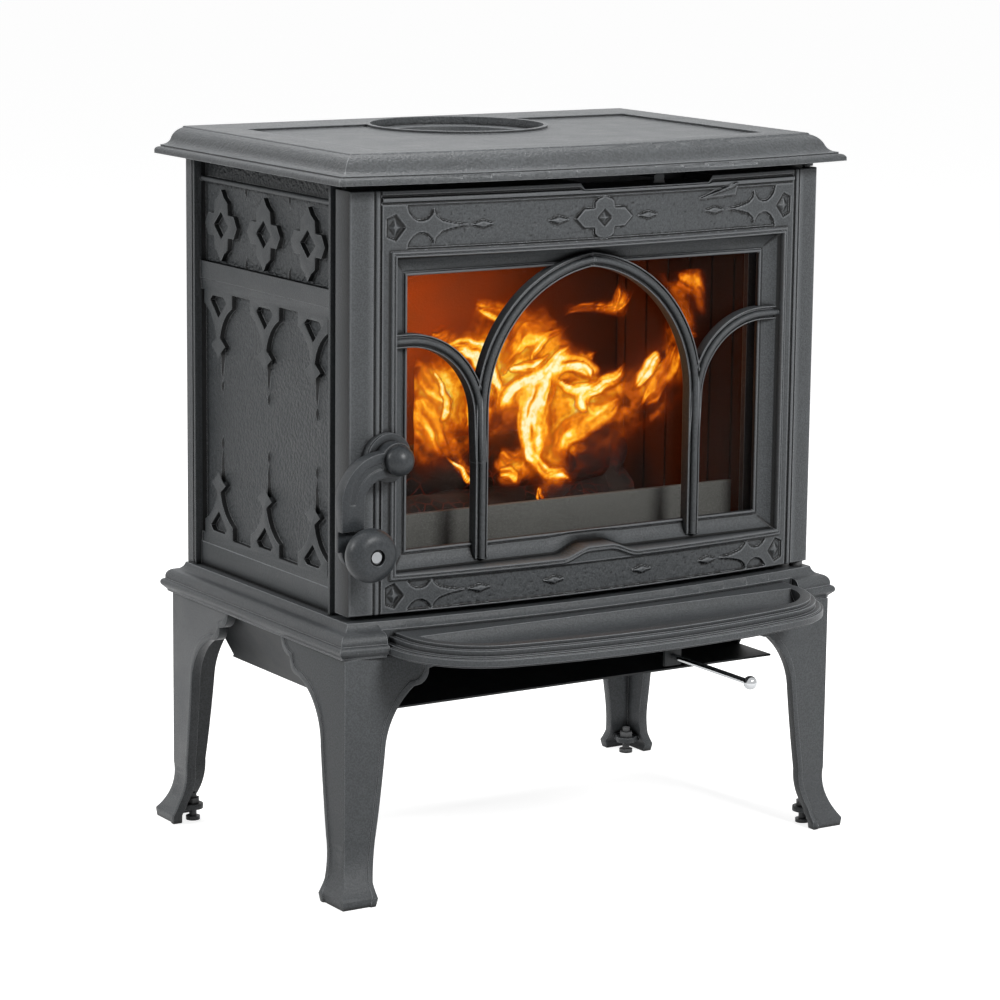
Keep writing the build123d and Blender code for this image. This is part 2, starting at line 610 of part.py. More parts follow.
def side_panel_right():
    """Panel with a recessed field, three quatrefoils and an arcade of three columns."""
    z0, z1 = BASE_TOP, SEAT
    x_out, x_field = BODY_HALF, BODY_HALF - FIELD_IN
    x_in, x_relief = x_field - WALL, x_field + RELIEF
    panel = block(x_in, x_field, PANEL_FRONT, PANEL_REAR, z0, z1)
    panel += block(x_in, x_out, PANEL_FRONT, PANEL_FRONT + FLANGE_T, z0, z1)
    panel += block(x_in, x_out, PANEL_REAR - FLANGE_T, PANEL_REAR, z0, z1)
    y0, y1 = PANEL_FRONT + FLANGE_T, PANEL_REAR - FLANGE_T
    frieze_low, belt_low, arcade_top = z1 - FRIEZE_LOW, z1 - BELT_LOW, z1 - ARCADE_TOP
    arcade_low, rail_top, bead = z0 + ARCADE_LOW, z0 + PANEL_RAIL, z1 - BEAD_DROP
    arcade_mid = (arcade_top + arcade_low) / 2
    panel += block(x_field, x_relief, y0, y1, belt_low, frieze_low)
    panel += block(x_field, x_relief, y0, y1, z0, rail_top)
    panel += block(x_field, x_relief - 1, y0, y1, arcade_top, belt_low)
    panel += block(x_field, x_relief - 1, y0, y1, rail_top, arcade_low)
    panel += rod_y(x_field + 2 * BEAD_R - 0.5, bead, y0, y1, BEAD_R)
    panel += block(x_field, x_field + 2 * BEAD_R - 0.5, y0, y1, bead - BEAD_R, bead + BEAD_R)
    figures, low_figures = [], []
    for n in (-0.5, 0.5):
        y = PANEL_MID_Y + QUATRE_BACK + n * QUATRE_PITCH
        for z, up in ((frieze_low, SPIKE_RISE), (bead - BEAD_R, -SPIKE_RISE)):
            spike = Polyline((y - SPIKE_HALF, z), (y, z + up), (y + SPIKE_HALF, z), close=True)
            low_figures.append(make_face(spike))
    for n in (-1, 0, 1):
        middle = PANEL_MID_Y + QUATRE_BACK + n * QUATRE_PITCH
        column = PANEL_MID_Y + COLUMN_BACK + n * COLUMN_PITCH
        figures.append(Pos(middle, z1 - QUATRE_DROP) * (quatrefoil() - diamond(15.5, 14)))
        for flip in (1, -1):
            half, point = column_figure(arcade_mid, arcade_top), column_taper(arcade_mid, arcade_top)
            if flip < 0:
                half, point = mirror(half, about=Plane.XZ), mirror(point, about=Plane.XZ)
            figures.append(Pos(column, arcade_mid) * half)
            low_figures.append(Pos(column, arcade_mid) * point)
            low_figures.append(Pos(column, arcade_mid + flip * COLUMN_BUD) * diamond(BUD_HALF, BUD_RISE))
    for figure in figures:
        panel += along_x(figure, x_field, x_relief - 1)
    for figure in low_figures:
        panel += along_x(figure, x_field, x_field + LOW_RELIEF)
    return panel


def side_panel_left():
    return mirror(side_panel_right(), about=Plane.YZ)


# ---------------------------------------------------------------- back of the stove
def back_plate():
    plate = block(-BODY_HALF + 15, BODY_HALF - 15, BACK_FACE - BACK_T, BACK_FACE, BASE_TOP, SEAT)
    edge = BODY_HALF - 0.5
    corner = BODY_DEPTH - POST_CHAMFER
    plan = outline((BODY_HALF - POST_W, POST_FRONT), (edge, POST_FRONT), (edge, corner),
                   (edge - POST_CHAMFER, BODY_DEPTH), (BODY_HALF - POST_W, BODY_DEPTH))
    post = along_z(plan, BASE_TOP, SEAT)
    web = block(BODY_HALF - POST_W, BODY_HALF - 17, PANEL_REAR, POST_FRONT, BASE_TOP, SEAT)
    for piece in both_sides(post) + both_sides(web):
        plate += piece
    rib = BODY_HALF - POST_W
    for z in (BASE_TOP + h for h in RIB_HEIGHTS):
        plate += block(-rib, rib, BACK_FACE, BODY_DEPTH, z, z + RIB_H)
    low = COLLAR_TOP - COLLAR_LENGTH - WALL
    plate += rod_z(0, FLUE_Y, low, SEAT, COLLAR_R + WALL) & block(-FAR, FAR, BACK_FACE - 1, FAR, 0, SEAT)
    plate -= rod_z(0, FLUE_Y, low + 4, SEAT + 1, COLLAR_R + SLIDE_CLEAR)
    return plate - [rod_y(x, z, BACK_FACE - 6, BODY_DEPTH, SHIELD_SCREW_R) for x, z in SHIELD_POINTS]


def rear_heat_shield():
    y, x = BACK_FACE + SHIELD_GAP, BODY_HALF - 57
    z0, z1 = BASE_TOP + 18, SEAT - 22
    sheet = block(-x, x, y, y + SHIELD_T, z0, z1)
    for lip in both_sides(block(x - SHIELD_T, x, y - 7, y, z0, z1)):
        sheet += lip
    sheet -= [along_y(Pos(sx * 95, SEAT - 60 - 14 * n) * SlotOverall(110, 5), y - 1, y + 3)
              for sx in (-1, 1) for n in range(3)]
    return sheet - [rod_y(px, pz, y - 1, y + 3, SHIELD_SCREW_R + SCREW_CLEAR) for px, pz in SHIELD_POINTS]


def shield_spacers():
    return [rod_y(x, z, BACK_FACE, BACK_FACE + SHIELD_GAP, 6.0)
            - rod_y(x, z, BACK_FACE - 1, BACK_FACE + SHIELD_GAP + 1, SHIELD_SCREW_R + SCREW_CLEAR)
            for x, z in SHIELD_POINTS]


def shield_screws():
    head = BACK_FACE + SHIELD_GAP + SHIELD_T
    return [rod_y(x, z, BACK_FACE - 5, head, SHIELD_SCREW_R) + rod_y(x, z, head, head + 3, 5.0)
            for x, z in SHIELD_POINTS]


# ---------------------------------------------------------------- base plate
def base_arc():
    """Radius of the arc where the top of the base plate's front moulding starts."""
    return arc_radius(BASE_SIDE, -BASE_FRONT_OVER) - BASE_OGEE_FRONT


def lip_arc():
    """Radius of the face on the base plate that the ash lip is bolted to."""
    return base_arc() + 0.25 * BASE_OGEE_FRONT


def base_plate():
    half, back = BASE_SIDE - BASE_OGEE_SIDE, BASE_BACK - BASE_OGEE_REAR
    widths = (BASE_OGEE_SIDE, BASE_OGEE_FRONT, BASE_OGEE_REAR)
    plate = moulded(ogee_base(), LEG_RISE, half, base_arc(), back, widths)
    inner, top = half - BASE_RIM, BASE_TOP - BASE_SKIN
    hollow = block(-inner, inner, BASE_HOLLOW_FRONT, back - BASE_RIM, LEG_RISE - 1, top)
    for x, y in LEG_BOLTS + TIE_POINTS + BELOW_SCREWS + [(HINGE_X, HINGE_Y)]:
        hollow -= rod_z(x, y, 0, SEAT, BOSS_R)
    plate -= hollow
    plate -= [block(x - SLOT_W / 2, x + SLOT_W / 2, *SLOT_Y, LEG_RISE, BASE_TOP + 1) for x in SLOT_XS]
    plate -= rod_z(HINGE_X, HINGE_Y, BASE_TOP - HINGE_FOOT - 1, BASE_TOP + 1, HINGE_PIN_R + PIN_CLEAR)
    plate -= [rod_z(x, y, LEG_RISE - 1, BASE_TOP + 1, TIE_R + SCREW_CLEAR) for x, y in TIE_POINTS]
    plate -= [rod_z(x, y, LEG_RISE - 1, LEG_RISE + LEG_BOLT_GRIP, LEG_BOLT_R) for x, y in LEG_BOLTS]
    plate -= [rod_z(x, y, LEG_RISE - 1, LEG_RISE + 6, 2.0) for x, y in BELOW_SCREWS]
    notch = bowed_slab(ASH_HALF, lip_arc() + 60, FAR, LEG_RISE - 1, ASH_Z1 + 3)
    plate -= notch - bowed_slab(2 * FAR, lip_arc(), 2 * FAR, 0, 2 * FAR)
    hole = ASH_BOLT_R + SCREW_CLEAR
    return plate - [rod_y(x, ASH_BOLT_Z, -FAR, BASE_HOLLOW_FRONT + 1, hole) for x in ASH_BOLT_XS]


# ---------------------------------------------------------------- ash lip
def ash_plan(inset):
    """Plan of the ash lip: straight ends, rounded corners and a wide front arc."""
    half, reach = ASH_HALF - inset, ASH_REACH - inset
    front, corner = ASH_FRONT_R - inset, ASH_CORNER_R - inset
    front_y = -reach + front
    cx = half - corner
    cy = front_y - math.sqrt((front - corner) ** 2 - cx ** 2)
    tx, ty = cx * front / (front - corner), front_y + (cy - front_y) * front / (front - corner)
    turn = math.atan2(ty - cy, tx - cx) / 2
    mx, my = cx + corner * math.cos(turn), cy + corner * math.sin(turn)
    return outline((half, 60), (half, cy), ((mx, my), (tx, ty)), ((0, -reach), (-tx, ty)),
                   ((-mx, my), (-half, cy)), (-half, 60))


def ash_lip():
    steps = [(3, 0.0, 0.52), (0, 0.10, 0.42), (8, 0.4, 0.80), (13, 0.4, 1.0)]
    tray = None
    for inset, low, high in steps:
        layer = along_z(ash_plan(inset), ASH_Z0 + low * ASH_RISE, ASH_Z0 + high * ASH_RISE)
        tray = layer if tray is None else tray + layer
    floor = ASH_Z0 + ASH_FLOOR
    front = -ASH_REACH + ASH_RIM
    dish = outline((front, floor), (-64, floor), ((-52, floor + 3), (-44, ASH_Z1 + 1)), (front, ASH_Z1 + 1))
    tray -= along_x(dish, -FAR, FAR) & along_z(ash_plan(ASH_RIM), 0, SEAT)
    hollow = along_z(ash_plan(ASH_RIM - 8), ASH_Z0 - 1, floor - ASH_SKIN)
    tray -= hollow & block(-FAR, FAR, -FAR, -48, 0, SEAT)
    tray -= bowed_slab(2 * FAR, lip_arc(), 2 * FAR, 0, 2 * FAR)
    return tray - [rod_y(x, ASH_BOLT_Z, lip_face(x) - ASH_BOLT_GRIP - 1, 0, ASH_BOLT_R) for x in ASH_BOLT_XS]


def lip_face(x):
    return BOW_Y - math.sqrt(lip_arc() ** 2 - x * x)


def ash_lip_bolts():
    return [rod_y(x, ASH_BOLT_Z, lip_face(x) - ASH_BOLT_GRIP, BASE_HOLLOW_FRONT, ASH_BOLT_R)
            + hexagon_y(x, ASH_BOLT_Z, BASE_HOLLOW_FRONT, BASE_HOLLOW_FRONT + 4, 6.0) for x in ASH_BOLT_XS]


# ---------------------------------------------------------------- legs
def leg_face(reach):
    """One face of a leg, drawn in (inwards from the corner, z), from the base plate to the floor."""
    top, face, ankle = LEG_RISE, LEG_FACE, LEG_ANKLE
    return outline((-20, 0), (-20, top), (reach, top), ((reach - 5, top - 12), (reach - 18, top - 17)),
                   ((reach - 21, top - 28), (reach - 34, top - 33)),
                   ((face + 11, top - 58), (face, top - 95)),
                   ((face - 5, top - 140), (ankle, LEG_FLARE_RISE)),
                   ((ankle - 3, 0.6 * LEG_FLARE_RISE), (ankle - 7, 22)), (ankle - 7, 8), (ankle - 9, 0))


def leg_edge(wall, proud, flare):
    """The leg's wall drawn in (inwards, z); it stands proud of the corner line and the foot flares out."""
    rise, out = LEG_FLARE_RISE, -proud
    return outline((out, LEG_RISE), (out, rise), ((out - 0.2 * flare, 0.5 * rise), (out - flare, 9)),
                   (out - flare + 1, 0), (wall - flare + 1, 0), (wall - flare, 9),
                   ((wall - 0.2 * flare, 0.5 * rise), (wall, rise)), (wall, LEG_RISE))


def leg_wall(reach, across, along, flare_across, flare_along):
    """One wall of a leg with the bead on its free edge; across and along make its two prisms."""
    face = leg_face(reach)
    bead = (face - Pos(-LEG_BEAD, LEG_BEAD) * face) & rect(LEG_BEAD + 14, FAR, 0, LEG_RISE - 0.5)
    wall = across(face, -FAR, FAR) & along(leg_edge(LEG_WALL, 0, flare_across), -FAR, FAR)
    wall += across(bead, -FAR, FAR) & along(leg_edge(LEG_WALL / 2, LEG_BEAD_RISE, flare_across), -FAR, FAR)
    return wall & across(leg_edge(FAR, 0, flare_along), -FAR, FAR)


def leg_casting():
    """A leg with its outer corner at the origin and its walls running to +x and +y."""
    casting = leg_wall(LEG_BRACKET_X, along_y, along_x, LEG_FLARE_Y, LEG_FLARE_X)
    casting += leg_wall(LEG_BRACKET_Y, along_x, along_y, LEG_FLARE_X, LEG_FLARE_Y)
    pad = LEG_PAD_IN + 14
    casting += block(LEG_WALL - 1, pad, LEG_WALL - 1, pad, LEG_RISE - LEG_PAD_T, LEG_RISE)
    end, side = LEVEL_IN + LEVEL_LUG_R, LEVEL_IN - LEVEL_LUG_R
    root_x, root_y = LEG_WALL - LEG_FLARE_X - 2, LEG_WALL - LEG_FLARE_Y - 2
    arm = outline((root_x, root_y), (end - 6, root_y), (end, side), ((end, end), (side, end)), (root_x, end - 6))
    casting += along_z(arm, LEVEL_Z, LEVEL_Z + LEVEL_T)
    casting -= rod_z(LEG_PAD_IN, LEG_PAD_IN, LEG_RISE - 20, LEG_RISE + 1, LEG_BOLT_R + SCREW_CLEAR)
    return casting - rod_z(LEVEL_IN, LEVEL_IN, 0, LEVEL_Z + LEVEL_T + 2, LEVEL_R)


def at_corner(shape, side, rear):
    """Moves a shape made for a leg at the origin to one of the four corners."""
    if side > 0 and rear:
        shape = Rot(0, 0, 180) * shape
    elif side > 0:
        shape = mirror(shape, about=Plane.YZ)
    elif rear:
        shape = mirror(shape, about=Plane.XZ)
    return Pos(side * LEG_X, LEG_REAR_Y if rear else LEG_FRONT_Y, 0) * shape


def leg(side, rear):
    return lambda: at_corner(leg_casting(), side, rear)


def four_corners(shape):
    return [at_corner(shape, side, rear) for side in (-1, 1) for rear in (False, True)]


def leg_bolts():
    head = LEG_RISE - LEG_PAD_T
    bolt = rod_z(LEG_PAD_IN, LEG_PAD_IN, head, LEG_RISE + LEG_BOLT_GRIP, LEG_BOLT_R)
    return four_corners(bolt + hexagon_z(LEG_PAD_IN, LEG_PAD_IN, head - 6, head, 8.5))


def levelling_screws():
    screw = rod_z(LEVEL_IN, LEVEL_IN, 4, LEVEL_Z + LEVEL_T + 11, LEVEL_R)
    return four_corners(screw + rod_z(LEVEL_IN, LEVEL_IN, 0, 4, LEVEL_R + 3.5))


def levelling_nuts():
    low = LEVEL_Z + LEVEL_T
    nut = hexagon_z(LEVEL_IN, LEVEL_IN, low, low + 6, LEVEL_NUT_R)
    return four_corners(nut - rod_z(LEVEL_IN, LEVEL_IN, 0, low + 8, LEVEL_R))


# ---------------------------------------------------------------- sheet below the base
def bottom_heat_shield():
    low = LEG_RISE - BELOW_Z
    y0, y1 = BELOW_Y
    back = BASE_BACK - BASE_OGEE_REAR - BASE_RIM + 1
    sheet = block(-BELOW_HALF, BELOW_HALF, y0, y1, low - SHEET, low)
    t, top = BELOW_TOP_HALF, LEG_RISE - SHEET
    side = outline((BELOW_HALF - SHEET, low), (BELOW_HALF - SHEET, low - SHEET), (BELOW_HALF, low - SHEET),
                   (t, top), (t, LEG_RISE), (t - BELOW_FLANGE, LEG_RISE), (t - BELOW_FLANGE, top),
                   (t - SHEET, top))
    for wall in both_sides(along_y(side, BELOW_WALL_Y, LEG_REAR_Y - LEG_PAD_IN - 18)):
        sheet += wall
    rear = outline((y1 - SHEET, low), (y1 - SHEET, low - SHEET), (y1, low - SHEET), (back, top),
                   (back + REAR_FLANGE, top), (back + REAR_FLANGE, LEG_RISE), (back - SHEET, LEG_RISE),
                   (back - SHEET, top))
    rear_half = LEG_X - LEG_PAD_IN - 18
    sheet += along_x(rear, -rear_half, rear_half)
    return sheet - [rod_z(x, y, top - 1, LEG_RISE + 1, 2 + SCREW_CLEAR) for x, y in BELOW_SCREWS]


def bottom_shield_screws():
    low = LEG_RISE - SHEET
    return [rod_z(x, y, low, LEG_RISE + 6, 2.0) + rod_z(x, y, low - 2, low, 4.0) for x, y in BELOW_SCREWS]


# ---------------------------------------------------------------- front frame
def front_frame():
    """Plate that the door shuts against, with the hinge's upper lug and the slot of the air lever."""
    back = PANEL_FRONT
    frame = block(-FRAME_HALF, FRAME_HALF, FRAME_FRONT, back, BASE_TOP, SEAT)
    low, high = BASE_TOP + FRAME_OPEN_LOW, BASE_TOP + FRAME_OPEN_HIGH
    frame -= block(-FRAME_OPEN_HALF, FRAME_OPEN_HALF, 0, FAR, low, high)
    slot0, slot1 = LEVER_X - LEVER_W / 2 + LEVER_TRAVEL[0], LEVER_X + LEVER_W / 2 + LEVER_TRAVEL[1]
    z0, z1 = BASE_TOP + LEVER_BAR_Z[0], BASE_TOP + LEVER_BAR_Z[1]
    frame -= block(slot0 - 2, slot1 + 2, 0, FAR, z0 - 1, z1 + 1)
    r, low = HINGE_LUG_R, DOOR_HIGH + HINGE_LUG_GAP
    lug = outline((FRAME_HALF - 24, back), (FRAME_HALF - 24, FRAME_FRONT), (HINGE_X - r, HINGE_Y),
                  ((HINGE_X, HINGE_Y - r), (HINGE_X + r, HINGE_Y)), (HINGE_X + r, FRAME_FRONT - 8),
                  (FRAME_HALF, back))
    frame += along_z(lug, low, low + HINGE_LUG_T)
    return frame - rod_z(HINGE_X, HINGE_Y, low - 1, low + HINGE_LUG_T + 1, HINGE_PIN_R + PIN_CLEAR)


def latch_catch():
    """Lug on the front frame: the latch hook slides behind its lip as the handle is pressed home."""
    x0, x1 = HANDLE_X + 14, HANDLE_X + HOOK_REACH + 1
    low, high = SHAFT_Z + HOOK_HALF + 0.6, SHAFT_Z + HOOK_HALF + 17
    lip = block(x0, x1, HOOK_FRONT - SLIDE_CLEAR - CATCH_LAP, HOOK_FRONT - SLIDE_CLEAR, low, high)
    stem = block(x0, x1, HOOK_FRONT - SLIDE_CLEAR, FRAME_FRONT, high - 7, high)
    return lip + stem


# ---------------------------------------------------------------- door
def window_bars():
    """The tracery as a face in (x, z), and the narrower ridge along its bars."""
    z_spring, offset = BASE_TOP + ARCH_SPRING, ARCH_R - MULLION_X
    side_z = BASE_TOP + SIDE_ARCH_Z
    end = WINDOW_HALF + COVE

    def bars(width):
        half = width / 2
        face = rect(MULLION_X - half, MULLION_X + half, WIN_Z0 - 14, z_spring)
        ring = Pos(-offset, z_spring) * (Circle(ARCH_R + half) - Circle(ARCH_R - half))
        face += ring & rect(0, FAR, z_spring, SEAT)
        ring = Pos(SIDE_ARCH_X, side_z) * (Circle(SIDE_ARCH_R + half) - Circle(SIDE_ARCH_R - half))
        face += ring & rect(MULLION_X - half, SIDE_ARCH_X, side_z, SEAT)
        face += rect(SIDE_ARCH_X, end, side_z + SIDE_ARCH_R - half, side_z + SIDE_ARCH_R + half)
        return face

    return bars(MULLION_W), bars(BAR_RIDGE_W)


def star():
    """Four-pointed figure at the end of a band, running into the frame round its sunk panel."""
    upper = [(160, 0), (169, 0.8), (178, 2.8), (185, 7), (190, 14), (195, 7.4), (202, 4), (208.5, 8),
             (214, 18)]
    lower = [(x, -z) for x, z in reversed(upper[1:])]
    sunk = Polyline((217, 0), (222, 11), (236, 11), (236, -11), (222, -11), close=True)
    return make_face(Polyline(*upper, (240, 18), (240, -18), *lower, close=True)) - make_face(sunk)


def band_figures(mid, middle):
    """Raised ornament of one band, as faces in (x, z); middle says whether the centre carries a figure."""
    figures = []
    if middle:
        figures.append(Pos(0, mid) * (quatrefoil(0.97, 0.55) - diamond(8.4, 8)))
    for sx in (-1, 1):
        figures += [Pos(sx * x, mid) * diamond(12, 2.3) for x in (53, 137.5)]
        figures.append(Pos(0, mid) * (star() if sx > 0 else mirror(star(), about=Plane.YZ)))
    return figures


def rope_ring(width):
    """The rope seal's run behind the door's edge, drawn in (x, z)."""
    mid = (DOOR_LOW + DOOR_HIGH) / 2
    w, h = 2 * ROPE_X, DOOR_HIGH - DOOR_LOW - 2 * ROPE_IN
    outer = RectangleRounded(w + width, h + width, ROPE_CORNER_R + width / 2)
    return Pos(0, mid) * (outer - RectangleRounded(w - width, h - width, ROPE_CORNER_R - width / 2))


def window_cut():
    """The window's opening with its cove, widening towards the front."""
    hole = block(-WINDOW_HALF, WINDOW_HALF, -FAR, FAR, WIN_Z0, WIN_Z1)
    x0, x1 = WINDOW_HALF, WINDOW_HALF + COVE
    hole += block(-x1, x1, -FAR, COVE_FRONT, WIN_Z0 - COVE, WIN_Z1 + COVE)
    mid = ((x0 + x1) / 2 + 2.5, (COVE_BACK + COVE_FRONT) / 2 + 2.5)
    sides = along_z(outline((-x0, COVE_BACK), ((-mid[0], mid[1]), (-x1, COVE_FRONT)), (x1, COVE_FRONT),
                            ((mid[0], mid[1]), (x0, COVE_BACK))), WIN_Z0 - COVE, WIN_Z1 + COVE)
    low, high = WIN_Z0 - COVE, WIN_Z1 + COVE
    bend = COVE / 2 + 2.5
    ends = along_x(outline((COVE_BACK, WIN_Z0), ((mid[1], WIN_Z0 - bend), (COVE_FRONT, low)),
                           (COVE_FRONT, high), ((mid[1], WIN_Z1 + bend), (COVE_BACK, WIN_Z1))), -FAR, FAR)
    return hole + (sides & ends)


def door_frame():
    half, z0, z1 = DOOR_HALF, DOOR_LOW, DOOR_HIGH
    whole = bowed_slab(half, BOW_R, DOOR_EDGE, z0, z1)
    door = whole - bowed_slab(half - DOOR_FLANGE, BOW_R - DOOR_SKIN, FAR, z0 + DOOR_FLANGE, z1 - DOOR_FLANGE)
    edge = COVE + CASING
    door += block(-WINDOW_HALF - edge, WINDOW_HALF + edge, -FAR, LEDGE, WIN_Z0 - edge, WIN_Z1 + edge) & whole
    edge = COVE + RIDGE_W
    door += shell_slab(WINDOW_HALF + edge, -RIDGE_RISE, 2, WIN_Z0 - edge, WIN_Z1 + edge)
    carrier = along_y(rope_ring(ROPE_CARRIER_W), -FAR, ROPE_CARRIER_BACK)
    door += carrier & bowed_slab(half, BOW_R - 2, FAR, z0, z1)
    for low, high in ((z0, z0 + HINGE_GRIP), (z1 - HINGE_GRIP, z1)):
        door += block(HINGE_X - 12, half, -60, HINGE_Y + 12, low, high) & whole
    door += rod_y(HANDLE_X, SHAFT_Z, PAD_BACK, HOOK_FRONT - SLIDE_CLEAR, 12)
    door += rod_y(HANDLE_X, SHAFT_Z, PAD_BACK, 4, PAD_R)
    cladding = shell_slab(half, -BAND_RELIEF, 1, z0, z1)
    for mid, middle in ((BASE_TOP + BAND_HIGH_Z, True), (BASE_TOP + BAND_LOW_Z, False)):
        for figure in band_figures(mid, middle):
            door += along_y(figure, -FAR / 4, 0) & cladding
    door -= window_cut() - rod_y(HANDLE_X, SHAFT_Z, PAD_BACK, LEDGE, PAD_R)
    bars, ridges = window_bars()
    back = LEDGE - 0.5
    for side in both_sides(along_y(bars, MULLION_FRONT, back) + along_y(ridges, BAR_RIDGE_FRONT, back)):
        door += side
    x0, x1 = NOTCH_X
    notch = outline((x0 - NOTCH_SLANT, z1 + 1), (x0, z1 - NOTCH_DEPTH), (x1, z1 - NOTCH_DEPTH),
                    (x1 + NOTCH_SLANT, z1 + 1))
    door -= along_y(notch, -60, FAR)
    door -= rod_y(HANDLE_X, SHAFT_Z, -60, FAR, SHAFT_R + PIN_CLEAR)
    door -= [rod_z(HINGE_X, HINGE_Y, low, high, HINGE_PIN_R)
             for low, high in ((z0 - 1, z0 + HINGE_GRIP - 4), (z1 - HINGE_GRIP + 4, z1 + 1))]
    for x, z, _ in CLIPS:
        door += rod_y(x, z, COVE_BACK, GLASS_BACK, 6)
    return door - [rod_y(x, z, LEDGE - 2, GLASS_BACK + 1, CLIP_SCREW_R) for x, z, _ in CLIPS]


def glass_face(lap):
    return rect(-WINDOW_HALF - lap, WINDOW_HALF + lap, WIN_Z0 - lap + GLASS_SHORT, WIN_Z1 + lap - GLASS_SHORT)


def door_glass():
    return along_y(glass_face(GLASS_LAP), GASKET_BACK, GLASS_BACK)


def glass_gasket():
    return along_y(glass_face(GLASS_LAP + 2) - glass_face(GASKET_LAP), LEDGE, GASKET_BACK)


def glass_clips():
    clips = []
    for x, z, turn in CLIPS:
        half = CLIP_W / 2
        out = turn or math.copysign(1, x)
        ends = sorted((CLIP_TAIL * out, -(CLIP_OUT + CLIP_LAP) * out))
        if turn:
            face = rect(x - half, x + half, z + ends[0], z + ends[1])
        else:
            face = rect(x + ends[0], x + ends[1], z - half, z + half)
        clip = along_y(face, GLASS_BACK, GLASS_BACK + CLIP_T)
        clips.append(clip - rod_y(x, z, 0, FAR, CLIP_SCREW_R + SCREW_CLEAR))
    return clips


def glass_clip_screws():
    head = GLASS_BACK + CLIP_T
    return [rod_y(x, z, LEDGE - 2, head, CLIP_SCREW_R) + rod_y(x, z, head, head + 2.4, 3.8)
            for x, z, _ in CLIPS]


def door_rope_seal():
    return along_y(rope_ring(ROPE_W), ROPE_CARRIER_BACK, FRAME_FRONT - SLIDE_CLEAR)


def hinge_pin_lower():
    pin = rod_z(HINGE_X, HINGE_Y, BASE_TOP - HINGE_FOOT, DOOR_LOW + HINGE_GRIP - 4, HINGE_PIN_R)
    return pin + rod_z(HINGE_X, HINGE_Y, BASE_TOP, DOOR_LOW, HINGE_COLLAR_R)


def hinge_pin_upper():
    top = DOOR_HIGH + HINGE_LUG_GAP + HINGE_LUG_T
    return rod_z(HINGE_X, HINGE_Y, DOOR_HIGH - HINGE_GRIP + 4, top, HINGE_PIN_R)


# ---------------------------------------------------------------- handle
def handle_pad():
    front = PAD_BACK - PAD_T
    bore = rod_y(HANDLE_X, SHAFT_Z, front - 1, 0, SHAFT_R + PIN_CLEAR)
    return rod_y(HANDLE_X, SHAFT_Z, front, PAD_BACK, PAD_R) - bore


def handle_arm():
    """Bent arm from the shaft's hub to the plate that carries the knob."""
    x, z, half, r = HANDLE_X, SHAFT_Z, ARM_W / 2, ARM_BEND_R
    bend_x, bend_z = x + ARM_DROP_X + r, z - ARM_LOWER - r
    quarter = rect(bend_x - FAR, bend_x, bend_z, bend_z + FAR)
    path = Pos(bend_x, bend_z) * (Circle(r + half) - Circle(r - half)) & quarter
    path += rect(bend_x, x, z - ARM_LOWER - half, z - ARM_LOWER + half)
    path += rect(x + ARM_DROP_X - half, x + ARM_DROP_X + half, KNOB_Z, bend_z)
    arm = along_y(path, ARM_FRONT, ARM_BACK)
    flute = Pos(bend_x, bend_z) * (Circle(r + FLUTE_HALF) - Circle(r - FLUTE_HALF)) & quarter
    arm -= along_y(flute, ARM_FRONT, ARM_FRONT + FLUTE_DEPTH)
    arm += rod_y(KNOB_X, KNOB_Z, KNOB_PLATE_FRONT, ARM_BACK + 2, KNOB_PLATE_R)
    arm -= block(-FAR, FAR, ARM_FRONT - 1, KNOB_PLATE_FRONT, 0, KNOB_Z + KNOB_PLATE_R + 3)
    arm += rod_y(x, z, ARM_FRONT, PAD_BACK - PAD_T - SLIDE_CLEAR, HUB_R)
    arm -= rod_y(x, z, ARM_FRONT + 4, 0, SHAFT_R)
    return arm - rod_y(KNOB_X, KNOB_Z, ARM_FRONT, 0, KNOB_SCREW_R)


def turned_y(x, y, z, profile):
    """A solid of revolution about an axis along Y; profile is drawn in (radius, distance to the front)."""
    plane = Plane(origin=(x, y, z), x_dir=(1, 0, 0), z_dir=(0, 0, 1))
    return revolve(plane * profile, axis=Axis((x, y, z), (0, 1, 0)), revolution_arc=360)


def handle_cap():
    """Domed cap over the end of the shaft."""
    r, rise = CAP_R, CAP_RISE
    crown = 0.6 * rise
    ball = (r * r + crown * crown) / (2 * crown)
    middle = (r / 2, -rise + ball - math.sqrt(ball * ball - r * r / 4))
    profile = outline((0, 0), (r, 0), (r, crown - rise), (middle, (0, -rise)))
    return turned_y(HANDLE_X, ARM_FRONT, SHAFT_Z, profile)


def handle_ferrule():
    ferrule = rod_y(KNOB_X, KNOB_Z, KNOB_Y + KNOB_HALF, KNOB_PLATE_FRONT, 10.0)
    return ferrule - rod_y(KNOB_X, KNOB_Z, -FAR, 0, KNOB_SCREW_R + SCREW_CLEAR)


def handle_knob():
    """Flattened round knob, bored for its screw."""
    h, r = KNOB_HALF, KNOB_R
    knob = turned_y(KNOB_X, KNOB_Y, KNOB_Z, outline((0, -h), (r - h, -h), ((r, 0), (r - h, h)), (0, h)))
    knob -= rod_y(KNOB_X, KNOB_Z, -FAR, KNOB_Y - KNOB_HALF + 6, KNOB_BORE_R)
    return knob - rod_y(KNOB_X, KNOB_Z, -FAR, 0, KNOB_SCREW_R + SCREW_CLEAR)


def knob_screw():
    seat = KNOB_Y - KNOB_HALF + 6
    screw = rod_y(KNOB_X, KNOB_Z, seat, ARM_BACK + 2, KNOB_SCREW_R)
    return screw + rod_y(KNOB_X, KNOB_Z, seat - 3.5, seat, 5.5)


def handle_shaft():
    return rod_y(HANDLE_X, SHAFT_Z, ARM_FRONT + 4, FRAME_FRONT - 0.8, SHAFT_R)


